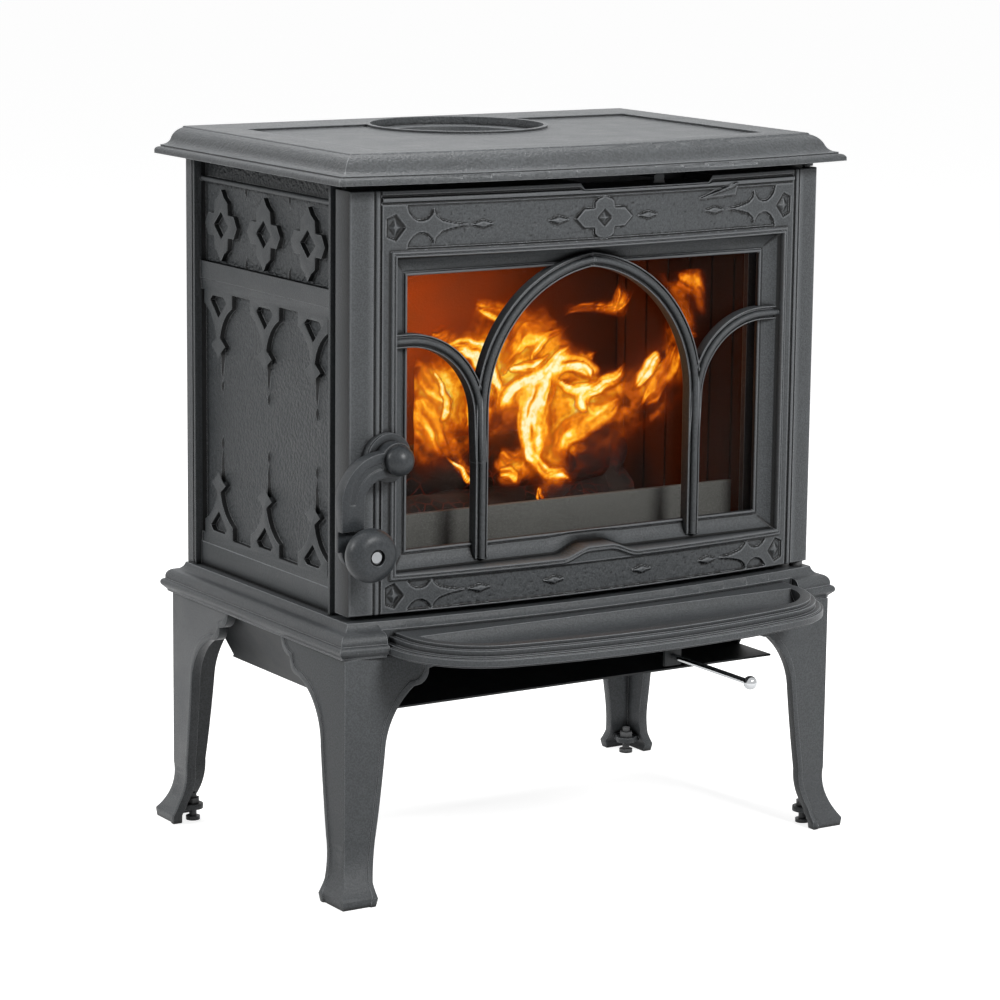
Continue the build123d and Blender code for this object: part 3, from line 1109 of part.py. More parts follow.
def latch_hook():
    finger = rect(HANDLE_X, HANDLE_X + HOOK_REACH, SHAFT_Z - HOOK_HALF, SHAFT_Z + HOOK_HALF)
    hook = along_y(finger + Pos(HANDLE_X, SHAFT_Z) * Circle(8.5), HOOK_FRONT, HOOK_FRONT + HOOK_T)
    return hook - rod_y(HANDLE_X, SHAFT_Z, 0, FAR, SHAFT_R)


def latch_nut():
    back = HOOK_FRONT + HOOK_T
    nut = hexagon_y(HANDLE_X, SHAFT_Z, back, FRAME_FRONT - 1, 9.5)
    return nut - rod_y(HANDLE_X, SHAFT_Z, 0, FAR, SHAFT_R)


# ---------------------------------------------------------------- firebox
def inner_bottom():
    floor = block(-FLOOR_HALF, FLOOR_HALF, *FLOOR_Y, BASE_TOP, BASE_TOP + FLOOR_T)
    return floor - block(-GRATE_W / 2, GRATE_W / 2, GRATE_Y - GRATE_D / 2, GRATE_Y + GRATE_D / 2, 0, SEAT)


def grate():
    w, d = GRATE_W / 2 - GRATE_GAP, GRATE_D / 2 - GRATE_GAP
    plate = block(-w, w, GRATE_Y - d, GRATE_Y + d, BASE_TOP, BASE_TOP + FLOOR_T)
    slots = [along_z(Pos(x, GRATE_Y + dy) * (Rot(0, 0, 90) * SlotOverall(44, 8)), 0, SEAT)
             for x in range(-80, 81, 16) for dy in (-27, 27)]
    return plate - slots


def side_brick(sx):
    x0 = BODY_HALF - BRICK_IN - BRICK_T
    low = BASE_TOP + FLOOR_T
    brick = block(x0, x0 + BRICK_T, *BRICK_Y, low, low + BRICK_RISE)
    brick -= [block(x0 - 1, x0 + 2, y, y + 6, low + 20, low + BRICK_RISE - 20) for y in range(80, 281, 40)]
    return brick if sx > 0 else mirror(brick, about=Plane.YZ)


def burn_plate_left():
    return side_brick(-1)


def burn_plate_right():
    return side_brick(1)


def burn_plate_back():
    half, low = BODY_HALF - BRICK_IN, BASE_TOP + FLOOR_T
    return block(-half, half, BRICK_Y[1], BRICK_Y[1] + BACK_BRICK_T, low, low + BRICK_RISE)


def baffle_plate():
    """Plate over the fire, carried by the burn plates; the smoke passes before its front edge."""
    half = BODY_HALF - BRICK_IN
    top = BRICK_TOP + BAFFLE_T
    plate = block(-half, half, BAFFLE_FRONT, BRICK_Y[1] + BACK_BRICK_T, BRICK_TOP, top)
    return plate + block(-half, half, BAFFLE_FRONT, BAFFLE_FRONT + 10, top, top + 8)


def log_guard():
    """Low rail that keeps logs off the glass, standing on the firebox floor."""
    low = BASE_TOP + FLOOR_T
    guard = block(-GUARD_HALF, GUARD_HALF, GUARD_Y, GUARD_Y + GUARD_T, low, low + GUARD_RISE)
    foot = max(GUARD_Y, FLOOR_Y[0])
    guard += block(-GUARD_HALF, GUARD_HALF, foot, GUARD_Y + GUARD_FOOT, low, low + GUARD_T)
    xs = [n * GUARD_SLOT_PITCH / 2 for n in range(-5, 6, 2)]
    return guard - [along_y(Pos(x, low + GUARD_RISE / 2) * SlotOverall(*GUARD_SLOT), 0, GUARD_Y + GUARD_T + 1)
                    for x in xs]


# ---------------------------------------------------------------- window air valve
def valve_heights():
    return BASE_TOP + VALVE_Z[0], BASE_TOP + VALVE_Z[1]


def air_wash_duct():
    """Bent sheet behind the front frame that turns the air down over the glass."""
    y0, y1 = PANEL_FRONT, PANEL_FRONT + DUCT_DEPTH
    z0, z1, x = BASE_TOP + DUCT_LOW, SEAT, DUCT_HALF
    duct = block(-x, x, y1 - SHEET, y1, z0, z1)
    duct += block(-x, x, y0 + DUCT_SLIT, y1, z0, z0 + SHEET)
    for end in both_sides(block(x - SHEET, x, y0, y1, z0, z1)):
        duct += end
    return duct


def air_valve_track():
    """Two rails on the back of the front frame, between which the valve plate slides."""
    z0, z1 = valve_heights()
    half = DUCT_HALF - SHEET
    y0, y1 = PANEL_FRONT, PANEL_FRONT + VALVE_T + SLIDE_CLEAR
    lower = block(-half, half, y0, y1, z0 - SLIDE_CLEAR - RAIL_H, z0 - SLIDE_CLEAR)
    upper = block(-half, half, y0, y1, z1 + SLIDE_CLEAR, z1 + SLIDE_CLEAR + RAIL_H)
    return [lower, upper]


def air_valve_plate():
    z0, z1 = valve_heights()
    x0, x1 = VALVE_X
    plate = block(x0, x1, PANEL_FRONT + SLIDE_CLEAR, PANEL_FRONT + SLIDE_CLEAR + VALVE_T, z0, z1)
    mid = (z0 + z1) / 2
    return plate - [along_y(Pos(x, mid) * SlotOverall(40, 12), 0, FAR) for x in (x0 + 35, x0 + 100, x1 - 35)]


def air_lever():
    """Strap on the valve plate, bar through the frame and thumb tab in the door's notch."""
    z0 = valve_heights()[0]
    low, high = BASE_TOP + LEVER_BAR_Z[0], BASE_TOP + LEVER_BAR_Z[1]
    x0, x1 = LEVER_X - LEVER_W / 2, LEVER_X + LEVER_W / 2
    back = PANEL_FRONT + SLIDE_CLEAR + VALVE_T
    lever = block(x0, x1, back, back + 3, z0 + 8, high) + block(x0, x1, LEVER_TAB_Y[0], back, low, high)
    t0, t1 = BASE_TOP + LEVER_TAB_Z[0], BASE_TOP + LEVER_TAB_Z[1]
    tab = outline((LEVER_X - 7, t0), (LEVER_X + 7, t0), (LEVER_X + 4, t1), (LEVER_X - 4, t1))
    return lever + along_y(tab, *LEVER_TAB_Y)


# ---------------------------------------------------------------- ignition air
def ignition_guide():
    """Bracket under the base plate's front rim that the rod slides through."""
    x, r = ROD_X, ROD_R + PIN_CLEAR
    guide = block(x - 10, x + 10, GUIDE_Y, GUIDE_Y + 4, ROD_Z - 10, LEG_RISE)
    guide += block(x - 10, x + 10, GUIDE_Y, BASE_HOLLOW_FRONT, LEG_RISE - 3, LEG_RISE)
    return guide - rod_y(x, ROD_Z, GUIDE_Y - 1, GUIDE_Y + 5, r)


def ignition_rails():
    """Rails in the base plate's hollow that carry the shutter."""
    top, x = BASE_TOP - BASE_SKIN, SHUTTER_HALF + SLIDE_CLEAR
    low = top - SLIDE_CLEAR - SHUTTER_T - SLIDE_CLEAR
    y0, y1 = SHUTTER_Y[0] - ROD_TRAVEL - 5, SHUTTER_Y[1] + 5
    rail = block(x, x + 6, y0, y1, low - 2, top) + block(x - 6, x + 6, y0, y1, low - 2, low)
    return both_sides(rail)


def ignition_shutter():
    top = BASE_TOP - BASE_SKIN - SLIDE_CLEAR
    plate = block(-SHUTTER_HALF, SHUTTER_HALF, *SHUTTER_Y, top - SHUTTER_T, top)
    w, bar = LINK_W, LEG_RISE - 6
    plate += block(LINK_X - w / 2, LINK_X + w / 2, LINK_Y, LINK_Y + w, bar, top - SHUTTER_T)
    plate += block(LINK_X - w / 2, ROD_X + w, LINK_Y, LINK_Y + w, bar - w, bar)
    plate += block(ROD_X - w, ROD_X + w, LINK_Y, LINK_Y + w, ROD_Z - 6, bar)
    return plate - rod_y(ROD_X, ROD_Z, 0, FAR, ROD_R)


def ignition_rod():
    return rod_y(ROD_X, ROD_Z, ROD_BALL_Y, ROD_END_Y, ROD_R)


def ignition_ball():
    ball = Pos(ROD_X, ROD_BALL_Y, ROD_Z) * Sphere(ROD_BALL_R)
    return ball - rod_y(ROD_X, ROD_Z, ROD_BALL_Y, FAR, ROD_R)


NODES = {
    "top_plate": top_plate, "flue_collar": flue_collar, "flue_collar_screws": flue_collar_screws,
    "side_panel_left": side_panel_left, "side_panel_right": side_panel_right, "back_plate": back_plate,
    "rear_heat_shield": rear_heat_shield, "shield_spacers": shield_spacers, "shield_screws": shield_screws,
    "base_plate": base_plate, "tie_rods": tie_rods, "tie_rod_nuts": tie_rod_nuts,
    "ash_lip": ash_lip, "ash_lip_bolts": ash_lip_bolts,
    "leg_front_left": leg(-1, False), "leg_front_right": leg(1, False),
    "leg_rear_left": leg(-1, True), "leg_rear_right": leg(1, True), "leg_bolts": leg_bolts,
    "levelling_screws": levelling_screws, "levelling_nuts": levelling_nuts,
    "bottom_heat_shield": bottom_heat_shield, "bottom_shield_screws": bottom_shield_screws,
    "front_frame": front_frame, "latch_catch": latch_catch,
    "door_frame": door_frame, "door_glass": door_glass, "glass_gasket": glass_gasket,
    "glass_clips": glass_clips, "glass_clip_screws": glass_clip_screws, "door_rope_seal": door_rope_seal,
    "hinge_pin_lower": hinge_pin_lower, "hinge_pin_upper": hinge_pin_upper,
    "handle_pad": handle_pad, "handle_arm": handle_arm, "handle_cap": handle_cap,
    "handle_ferrule": handle_ferrule, "handle_knob": handle_knob, "knob_screw": knob_screw,
    "handle_shaft": handle_shaft,
    "latch_hook": latch_hook, "latch_nut": latch_nut,
    "inner_bottom": inner_bottom, "grate": grate, "burn_plate_left": burn_plate_left,
    "burn_plate_right": burn_plate_right, "burn_plate_back": burn_plate_back, "baffle_plate": baffle_plate,
    "log_guard": log_guard, "air_wash_duct": air_wash_duct, "air_valve_track": air_valve_track,
    "air_valve_plate": air_valve_plate, "air_lever": air_lever,
    "ignition_guide": ignition_guide, "ignition_rails": ignition_rails, "ignition_shutter": ignition_shutter,
    "ignition_rod": ignition_rod, "ignition_ball": ignition_ball,
}


def export():
    os.makedirs("parts", exist_ok=True)
    for name, build in NODES.items():
        shape = build()
        solids = shape if isinstance(shape, list) else [shape]
        placed = [Pos(0, BACK_SHIFT, 0) * solid for solid in solids]
        export_step(placed[0] if len(placed) == 1 else Compound(children=placed), f"parts/{name}.step")


if __name__ == "__main__":
    export()
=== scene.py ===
import json
import math

import bmesh
import bpy
import numpy as np
from mathutils import Matrix, Vector


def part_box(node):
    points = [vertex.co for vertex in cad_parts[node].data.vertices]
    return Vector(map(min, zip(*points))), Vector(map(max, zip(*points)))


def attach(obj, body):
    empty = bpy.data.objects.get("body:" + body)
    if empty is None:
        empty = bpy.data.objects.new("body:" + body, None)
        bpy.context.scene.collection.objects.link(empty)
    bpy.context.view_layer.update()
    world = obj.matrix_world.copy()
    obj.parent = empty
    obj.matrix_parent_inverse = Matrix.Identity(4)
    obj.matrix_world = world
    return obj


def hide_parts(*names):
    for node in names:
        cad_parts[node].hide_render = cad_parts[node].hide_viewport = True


# Cast iron wood burning stove, dressed: painted castings, chromed ignition rod, glass and a wood fire.
# Lengths below are millimetres in the stove's working frame, whose y = 0 is the door's face at its side
# edges, x = 0 the centre line and z = 0 the floor; MM and BACK carry them to the frame's metres.

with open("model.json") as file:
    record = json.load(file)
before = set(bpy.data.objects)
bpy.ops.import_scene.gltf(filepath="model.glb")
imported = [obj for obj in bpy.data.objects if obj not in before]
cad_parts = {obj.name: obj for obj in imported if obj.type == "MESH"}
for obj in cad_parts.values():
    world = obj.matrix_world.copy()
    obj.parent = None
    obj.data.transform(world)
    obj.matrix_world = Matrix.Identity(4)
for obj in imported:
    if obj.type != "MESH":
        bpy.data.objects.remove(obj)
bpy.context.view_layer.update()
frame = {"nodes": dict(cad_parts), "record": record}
nodes = frame["nodes"]

MM = 0.001
FRAME_PLATE_BACK = 38.0     # back of the front frame in the working frame
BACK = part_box("front_frame")[1].y - FRAME_PLATE_BACK * MM


def at(x, y, z):
    """A point of the working frame, in the frame's metres."""
    return Vector((x * MM, y * MM + BACK, z * MM))


# ---- colour and nodes
def srgb(code):
    """A hex colour as linear red, green, blue and alpha."""
    parts = [int(code[i:i + 2], 16) / 255 for i in (1, 3, 5)]
    return (*[c / 12.92 if c <= 0.04045 else ((c + 0.055) / 1.055) ** 2.4 for c in parts], 1.0)


def add(tree, kind, sockets=None, output=0, **settings):
    """Adds a node with its settings, sets or links its inputs, and returns that output of it."""
    made = tree.nodes.new(kind)
    for key, value in settings.items():
        setattr(made, key, value)
    for key, value in (sockets or {}).items():
        if isinstance(value, bpy.types.NodeSocket):
            tree.links.new(value, made.inputs[key])
        else:
            made.inputs[key].default_value = value
    return made.outputs[output] if made.outputs else made


def maths(tree, operation, *values, clamp=False):
    """The result of one arithmetic node."""
    return add(tree, "ShaderNodeMath", dict(enumerate(values)), operation=operation, use_clamp=clamp)


def vector_maths(tree, operation, first, second, output=0):
    """The result of one node of vector arithmetic; SCALE takes a number as its second value."""
    values = {0: first, "Scale" if operation == "SCALE" else 1: second}
    return add(tree, "ShaderNodeVectorMath", values, output, operation=operation)


def map_range(tree, value, low, high, to_low=0.0, to_high=1.0, kind="LINEAR"):
    """The value carried from low .. high to to_low .. to_high."""
    return add(tree, "ShaderNodeMapRange", {"Value": value, "From Min": low, "From Max": high, "To Min": to_low,
                                            "To Max": to_high}, interpolation_type=kind)


def noise(tree, place, size, detail, roughness=0.5):
    """Noise from 0 to 1 whose blobs are about size millimetres wide."""
    return add(tree, "ShaderNodeTexNoise",
               {"Vector": place, "Scale": 1000 / size, "Detail": detail, "Roughness": roughness})


def cells(tree, place, size, feature="F1"):
    """Distances in a pattern of cells about size millimetres wide."""
    return add(tree, "ShaderNodeTexVoronoi", {"Vector": place, "Scale": 1000 / size}, "Distance", feature=feature)


def mix(tree, factor, first, second, kind="MIX"):
    """Two colours mixed."""
    return add(tree, "ShaderNodeMix", {"Factor": factor, 6: first, 7: second}, 2, data_type="RGBA", blend_type=kind)


def tones(tree, share, *stops):
    """The colour at a share from 0 to 1 along stops of (share, colour), the first at 0 and the last at 1."""
    made = add(tree, "ShaderNodeValToRGB", {"Fac": share})
    marks = made.node.color_ramp.elements
    marks[0].color, marks[1].color = srgb(stops[0][1]), srgb(stops[-1][1])
    for spot, colour in stops[1:-1]:
        marks.new(spot).color = srgb(colour)
    return made


def bump(tree, height, lift, normal=None, strength=1.0):
    """A normal bumped by a height from 0 to 1 that stands for lift millimetres."""
    sockets = {"Strength": strength, "Distance": lift * MM, "Height": height}
    if normal is not None:
        sockets["Normal"] = normal
    return add(tree, "ShaderNodeBump", sockets)


def attribute(tree, name):
    """A number that the mesh carries."""
    return add(tree, "ShaderNodeAttribute", None, "Fac", attribute_name=name)


def start(name):
    """A new empty material, its tree, and the object coordinates in it."""
    made = bpy.data.materials.new(name)
    made.use_nodes = True
    made.node_tree.nodes.clear()
    return made, made.node_tree, add(made.node_tree, "ShaderNodeTexCoord", None, "Object")


def finish(made, settings):
    """Ends a material with a Principled shader that has those inputs."""
    shader = add(made.node_tree, "ShaderNodeBsdfPrincipled", settings)
    add(made.node_tree, "ShaderNodeOutputMaterial", {"Surface": shader})
    return made


# ---- castings
SPECKLE = (0.8, 1.2)        # how much the sand's grain dims and brightens the paint
SLOW_WAVES = 38.0           # width of the slow hollows that the sand leaves, in millimetres
CORNER_SHADE_REACH = 6.0              # how far from a corner the painted shade reaches, in millimetres
DENTS = (3.8, 3.4)          # width and depth of the dents of the rough ground, in millimetres


def cast_paint(name, dark, light, rough, grain, grain_lift, edge, rub_and_highlight_share, roundness, ground=0.0, step=0.0):
    """Matte heat-proof paint sprayed on sand-cast iron.

    The sand leaves a fine grain and slow hollows. Edges are drawn paler, partly rubbed paint and partly a
    painted highlight; corners, found by ambient occlusion, are drawn darker as painted shade. grain is the
    grain's spacing, drawn coarser than the real 0.6 mm so that it shows, and grain_lift its height, in
    millimetres. Upright surfaces that lie at x = ground, both sides, have the rough ground that is cast behind
    the ornament; the flanks of the ornament, which stands a step proud of it, are drawn dark as painted shade.
    A mesh may carry its own attribute, hollow: 1 in a groove, drawn dark as painted shade, and -1 on an edge,
    drawn pale as a painted highlight.
    """
    made, tree, place = start(name)
    sand = noise(tree, place, grain, 3.0, 0.6)
    slow = noise(tree, place, SLOW_WAVES, 4.0, 0.55)
    tint = mix(tree, slow, srgb(dark), srgb(light))
    speckled = mix(tree, 1.0, tint, map_range(tree, sand, 0.40, 0.60, *SPECKLE), "MULTIPLY")
    soft = add(tree, "ShaderNodeBevel", {"Radius": roundness * MM}, samples=6)
    flat = add(tree, "ShaderNodeNewGeometry", None, "Normal")
    # Paler edges where the rounded normal leaves the flat one: partly rubbed paint, partly a painted highlight.
    edge_rub_and_highlight = map_range(tree, vector_maths(tree, "DOT_PRODUCT", soft, flat, "Value"), 0.992, 0.90, 0.0, rub_and_highlight_share)
    # Painted shade: corners found by ambient occlusion, and grooves marked 1 by the hollow attribute, are darkened in
    # the base colour.
    corner_shade = add(tree, "ShaderNodeAmbientOcclusion", {"Distance": CORNER_SHADE_REACH * MM}, "AO", samples=8)
    hollow = attribute(tree, "hollow")
    painted_shade = maths(tree, "MINIMUM", map_range(tree, corner_shade, 0.5, 0.93, 0.08, 1.0),
                     map_range(tree, hollow, 0.0, 1.0, 1.0, 0.05))
    # Crests marked -1 by the hollow attribute are drawn paler as a painted highlight.
    rub_and_highlight = maths(tree, "MAXIMUM", edge_rub_and_highlight, map_range(tree, hollow, 0.0, -1.0, 0.0, rub_and_highlight_share * 0.35))
    out = maths(tree, "ABSOLUTE", add(tree, "ShaderNodeSeparateXYZ", {"Vector": place}))
    if step:
        # Painted shade: the flanks between the rough ground and the tops of the figures are drawn dark.
        shaded_flank = maths(tree, "COMPARE", out, (ground + step / 2) * MM, (step / 2 - 0.35) * MM)
        painted_shade = maths(tree, "MINIMUM", painted_shade, map_range(tree, shaded_flank, 0.0, 1.0, 1.0, 0.1))
    # Base colour: the paint's random tone and grain, with rubbed edges, painted highlights and painted shade.
    paint_wear_and_painted_light = mix(tree, rub_and_highlight, mix(tree, 1.0, speckled, painted_shade, "MULTIPLY"), srgb(edge))
    normal = bump(tree, slow, 0.25, soft)
    if ground:
        sunk = maths(tree, "COMPARE", out, ground * MM, 0.6 * MM)
        normal = bump(tree, maths(tree, "MULTIPLY", noise(tree, place, DENTS[0], 2.0), sunk), DENTS[1], normal)
    return finish(made, {"Base Color": paint_wear_and_painted_light, "Roughness": map_range(tree, slow, 0.3, 0.7, rough - 0.06, rough + 0.06),
                         "Metallic": 0.0, "IOR": 1.5, "Specular IOR Level": 0.28,
                         "Normal": bump(tree, sand, grain_lift, normal)})


FIELD_X = 263.0             # the side panels' recessed field
FIGURE_TOP = 6.0            # how far the panels' ornament stands proud of the field
painted_casting = cast_paint("painted_sand_cast_iron", "#424446", "#4c4f51", 0.44, 1.7, 0.55, "#a0a3a6", 0.8, 1.2)
top_casting = cast_paint("painted_top_with_coarse_grain", "#424446", "#4e5153", 0.42, 2.6, 1.3, "#a0a3a6", 0.8, 1.2)
# The side panels carry the door's paint drawn darker: painted shade of the stove's sides.
side_paint_drawn_in_shade = cast_paint("painted_iron_on_rough_ground", "#393c3e", "#434648", 0.44, 1.7, 0.55, "#a0a3a6", 0.9, 1.2,
                           FIELD_X, FIGURE_TOP)
painted_sheet = cast_paint("painted_steel_sheet", "#2c2e2f", "#343638", 0.50, 1.4, 0.02, "#55585a", 0.3, 0.4)
handle_paint = cast_paint("painted_handle_casting", "#303335", "#3a3d40", 0.38, 1.8, 0.08, "#8c8f92", 0.6, 1.2)
guard_paint = cast_paint("heat_greyed_guard_paint", "#5a5a57", "#666662", 0.55, 1.8, 0.12, "#7c7b77", 0.4, 0.9)
sooted_iron = cast_paint("sooted_firebox_iron", "#331a0e", "#502a14", 0.85, 2.4, 0.3, "#5a3824", 0.3, 0.8)
plain_steel = cast_paint("plain_steel_fittings", "#6c6d6e", "#7a7b7c", 0.42, 0.8, 0.02, "#a0a1a2", 0.4, 0.3)


# ---- metal, glass, rope and fire
def metal(name, colour, rough, grain, lift, stretch):
    """Bare or plated steel with the fine lines of its polishing; grain and lift are in millimetres."""
    made, tree, place = start(name)
    fine = noise(tree, add(tree, "ShaderNodeMapping", {"Vector": place, "Scale": stretch}), grain, 2.0)
    return finish(made, {"Base Color": srgb(colour), "Metallic": 1.0,
                         "Roughness": map_range(tree, fine, 0.3, 0.7, rough * 0.8, rough * 1.25),
                         "Normal": bump(tree, fine, lift)})


def glass_fibre():
    """Knitted glass-fibre rope: dull grey yarns, 1.6 mm wide, with dark gaps."""
    made, tree, place = start("knitted_glass_fibre")
    yarn = cells(tree, place, 1.6)
    fuzz = noise(tree, place, 0.5, 2.0)
    return finish(made, {"Base Color": mix(tree, yarn, srgb("#77736a"), srgb("#2c2a27")), "Roughness": 0.95,
                         "Sheen Weight": 0.3, "Normal": bump(tree, fuzz, 0.2, bump(tree, yarn, 0.4), 0.5)})


def glass_ceramic():
    """Clear glass-ceramic pane with an uneven smoky haze."""
    made, tree, place = start("clear_glass_ceramic")
    return finish(made, {"Base Color": srgb("#241a14"), "Roughness": 0.06, "IOR": 1.52, "Specular IOR Level": 0.2,
                         "Alpha": map_range(tree, noise(tree, place, 90, 4.0), 0.35, 0.75, 0.04, 0.12)})


def wood_bark():
    """Birch bark, scorched: brown with dark cross cracks, black charred patches and a few glowing seams."""
    made, tree, place = start("scorched_bark")
    drawn_out = add(tree, "ShaderNodeMapping", {"Vector": place, "Scale": (0.25, 1.0, 1.0)})
    cracks = noise(tree, drawn_out, 7, 5.0, 0.65)
    char = map_range(tree, noise(tree, place, 40, 3.0), 0.42, 0.6)
    scorched = mix(tree, char, mix(tree, cracks, srgb("#0c0705"), srgb("#2c1b12")), srgb("#0b0807"))
    seams = map_range(tree, cells(tree, place, 16, "DISTANCE_TO_EDGE"), 0.035, 0.0)
    glow = mix(tree, maths(tree, "MULTIPLY", seams, char), srgb("#000000"), srgb("#8e2a0c"))
    return finish(made, {"Base Color": scorched, "Roughness": 0.9, "Normal": bump(tree, cracks, 1.2),
                         "Emission Color": glow, "Emission Strength": 0.5})


def glowing_charcoal():
    """Embers: black cracked charcoal, glowing dull red to orange in its cracks."""
    made, tree, place = start("glowing_charcoal")
    crack = map_range(tree, cells(tree, place, 9, "DISTANCE_TO_EDGE"), 0.22, 0.0, 0.15, 1.0)
    warm = map_range(tree, noise(tree, place, 45, 3.0), 0.4, 0.68)
    glow = tones(tree, maths(tree, "MULTIPLY", warm, crack), (0.0, "#000000"), (0.35, "#8e2209"), (1.0, "#ff8a2a"))
    return finish(made, {"Base Color": srgb("#15100d"), "Roughness": 0.95, "Emission Color": glow,
                         "Emission Strength": 0.9})


def burning_gas():
    """Wood gas alight: its attribute gas_heat runs from clear through dull red and orange to pale yellow."""
    made, tree, place = start("burning_wood_gas")
    flicker = map_range(tree, noise(tree, place, 8, 4.0, 0.6), 0.35, 0.65, 0.8, 1.15)
    level = maths(tree, "MULTIPLY", attribute(tree, "gas_heat"), flicker, clamp=True)
    glow = tones(tree, level, (0.0, "#3a0e03"), (0.2, "#7a2604"), (0.4, "#c4580a"), (0.58, "#f6981a"),
                 (0.74, "#ffcc3e"), (1.0, "#fff3c4"))
    return finish(made, {"Base Color": srgb("#000000"), "Roughness": 1.0, "Specular IOR Level": 0.0,
                         "Emission Color": glow, "Emission Strength": 1.3,
                         "Alpha": map_range(tree, level, 0.02, 0.5, 0.0, 0.95, "SMOOTHSTEP")})


bright_steel = metal("turned_bright_steel", "#8d8f91", 0.34, 0.8, 0.02, (1.0, 1.0, 1.0))
chrome_plate = metal("chrome_plate", "#b9bbbd", 0.12, 1.4, 0.008, (1.0, 0.1, 1.0))
rope_fibre = glass_fibre()
fire_glass = glass_ceramic()
bark = wood_bark()
charcoal = glowing_charcoal()
gas = burning_gas()


# Finish of every CAD node, by the slot it is given in the record.
SLOT_PAINT = {"painted_iron": painted_casting, "handle_iron": handle_paint, "steel_sheet": painted_sheet,
              "firebox_iron": sooted_iron, "steel_fittings": plain_steel, "bright_screw": bright_steel,
              "bright_chrome": chrome_plate, "seal_rope": rope_fibre, "glass": fire_glass}
for entry in frame["record"]["subparts"]:
    skin = nodes[entry["node"]].data
    skin.materials.clear()
    skin.materials.append(SLOT_PAINT[entry["material_slot"]])


# ---- meshes
MERGE = 0.02 * MM                # corners closer than this are one
SAME_PLANE = math.radians(0.5)   # faces that turn less than this are one
SHARP_FROM = math.radians(28)    # edges that turn more than this are rounded


def linked(name, data):
    """An object of that data, in the scene."""
    made = bpy.data.objects.new(name, data)
    bpy.context.scene.collection.objects.link(made)
    return made


def piece(name, mesh, material, body="stove", stands_for=()):
    """Makes an object of a mesh, lets it ride on its body and hides the CAD nodes it stands for."""
    made = linked(name, mesh)
    if not mesh.materials:
        mesh.materials.append(material)
    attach(made, body)
    if stands_for:
        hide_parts(*stands_for)


def smooth(mesh, degrees):
    """Smooth shading, with edges sharper than that angle kept."""
    mesh.shade_smooth()
    mesh.set_sharp_from_angle(angle=math.radians(degrees))
    return mesh


def merged_copy(node):
    """A copy of a CAD node's mesh, and the form of it with its doubled corners merged."""
    mesh = nodes[node].data.copy()
    mesh.materials.clear()
    form = form_of(mesh)
    bmesh.ops.remove_doubles(form, verts=form.verts, dist=MERGE)
    return mesh, form


def form_of(*meshes):
    """An editable form of one or more meshes."""
    form = bmesh.new()
    for mesh in meshes:
        form.from_mesh(mesh)
    return form


def store(form, mesh):
    """Writes the form into the mesh, and frees it."""
    form.to_mesh(mesh)
    form.free()
    return mesh


def own_normals(mesh):
    """Drops the solid's stored normals, which don't fit the changed mesh."""
    for layer in list(mesh.attributes):
        if layer.name == "custom_normal":
            mesh.attributes.remove(layer)
    return mesh


def evaluated(obj):
    """The mesh that an object's modifiers make; the object is removed."""
    bpy.context.view_layer.update()
    graph = bpy.context.evaluated_depsgraph_get()
    mesh = bpy.data.meshes.new_from_object(obj.evaluated_get(graph), depsgraph=graph)
    bpy.data.objects.remove(obj)
    return mesh


def rounded(name, mesh, form, edge, miter="MITER_SHARP"):
    """The form with its flat faces joined and its sharp edges rounded; the mesh is used up."""
    bmesh.ops.dissolve_limit(form, angle_limit=SAME_PLANE, verts=form.verts, edges=form.edges)
    holder = linked(name + "_raw", store(form, mesh))
    rounding = holder.modifiers.new("rounding", "BEVEL")
    rounding.limit_method, rounding.angle_limit = "ANGLE", SHARP_FROM
    rounding.width, rounding.segments, rounding.use_clamp_overlap = edge * MM, 2, False
    rounding.miter_outer = miter
    made = evaluated(holder)
    made.name = name
    return made


def cast_copy(node, material=painted_casting):
    """A merged and smoothed copy of a CAD node of the stove's body, which it stands for."""
    mesh, form = merged_copy(node)
    piece(node + "_dressed", smooth(own_normals(store(form, mesh)), 32), material, stands_for=(node,))


def carry(mesh, name, values):
    """Stores a number for each corner of the mesh."""
    mesh.attributes.new(name, "FLOAT", "POINT").data.foreach_set("value", values.astype(np.float32))


def spans(*marks):
    """Grid lines through the marks 0, 2, 4 .., with the marks 1, 3, 5 .. as steps between them."""
    values = [np.linspace(a, b, max(2, int(round((b - a) / step)) + 1))
              for a, step, b in zip(marks[::2], marks[1::2], marks[2::2])]
    return np.unique(np.round(np.concatenate(values), 4))


def cells_of_grid(rows, columns):
    """The rings of four corners of a grid whose points are counted row by row."""
    for i in range(rows - 1):
        for k in range(i * columns, (i + 1) * columns - 1):
            yield k, k + columns, k + columns + 1, k + 1


def polygon_distance(points, u, v):
    """Signed distance to a closed polygon, below zero inside it."""
    points = np.asarray(points, float)
    near = np.full(u.shape, 1e9)
    inside = np.zeros(u.shape, bool)
    for (au, av), (bu, bv) in zip(points, np.roll(points, -1, axis=0)):
        du, dv = bu - au, bv - av
        along = np.clip(((u - au) * du + (v - av) * dv) / (du * du + dv * dv), 0, 1)
        near = np.minimum(near, np.hypot(u - au - along * du, v - av - along * dv))
        if av != bv:
            inside ^= ((av > v) != (bv > v)) & (u < au + (v - av) * du / dv)
    return np.where(inside, -near, near)


def ramp(value, low, high):
    """0 below low, 1 above high, smooth between."""
    t = np.clip((value - low) / (high - low), 0, 1)
    return t * t * (3 - 2 * t)


def lumps(u, v, size, seed):
    """Smooth random heights of about -1 to 1, one bump for each size."""
    rng = np.random.default_rng(seed)
    table = rng.uniform(-1, 1, (256, 256))
    s, t = u / size + 97.3, v / size + 41.7
    i, j = np.floor(s).astype(int), np.floor(t).astype(int)
    a, b = ramp(s - i, 0, 1), ramp(t - j, 0, 1)
    low = table[i % 256, j % 256] * (1 - a) + table[(i + 1) % 256, j % 256] * a
    high = table[i % 256, (j + 1) % 256] * (1 - a) + table[(i + 1) % 256, (j + 1) % 256] * a
    return low * (1 - b) + high * b


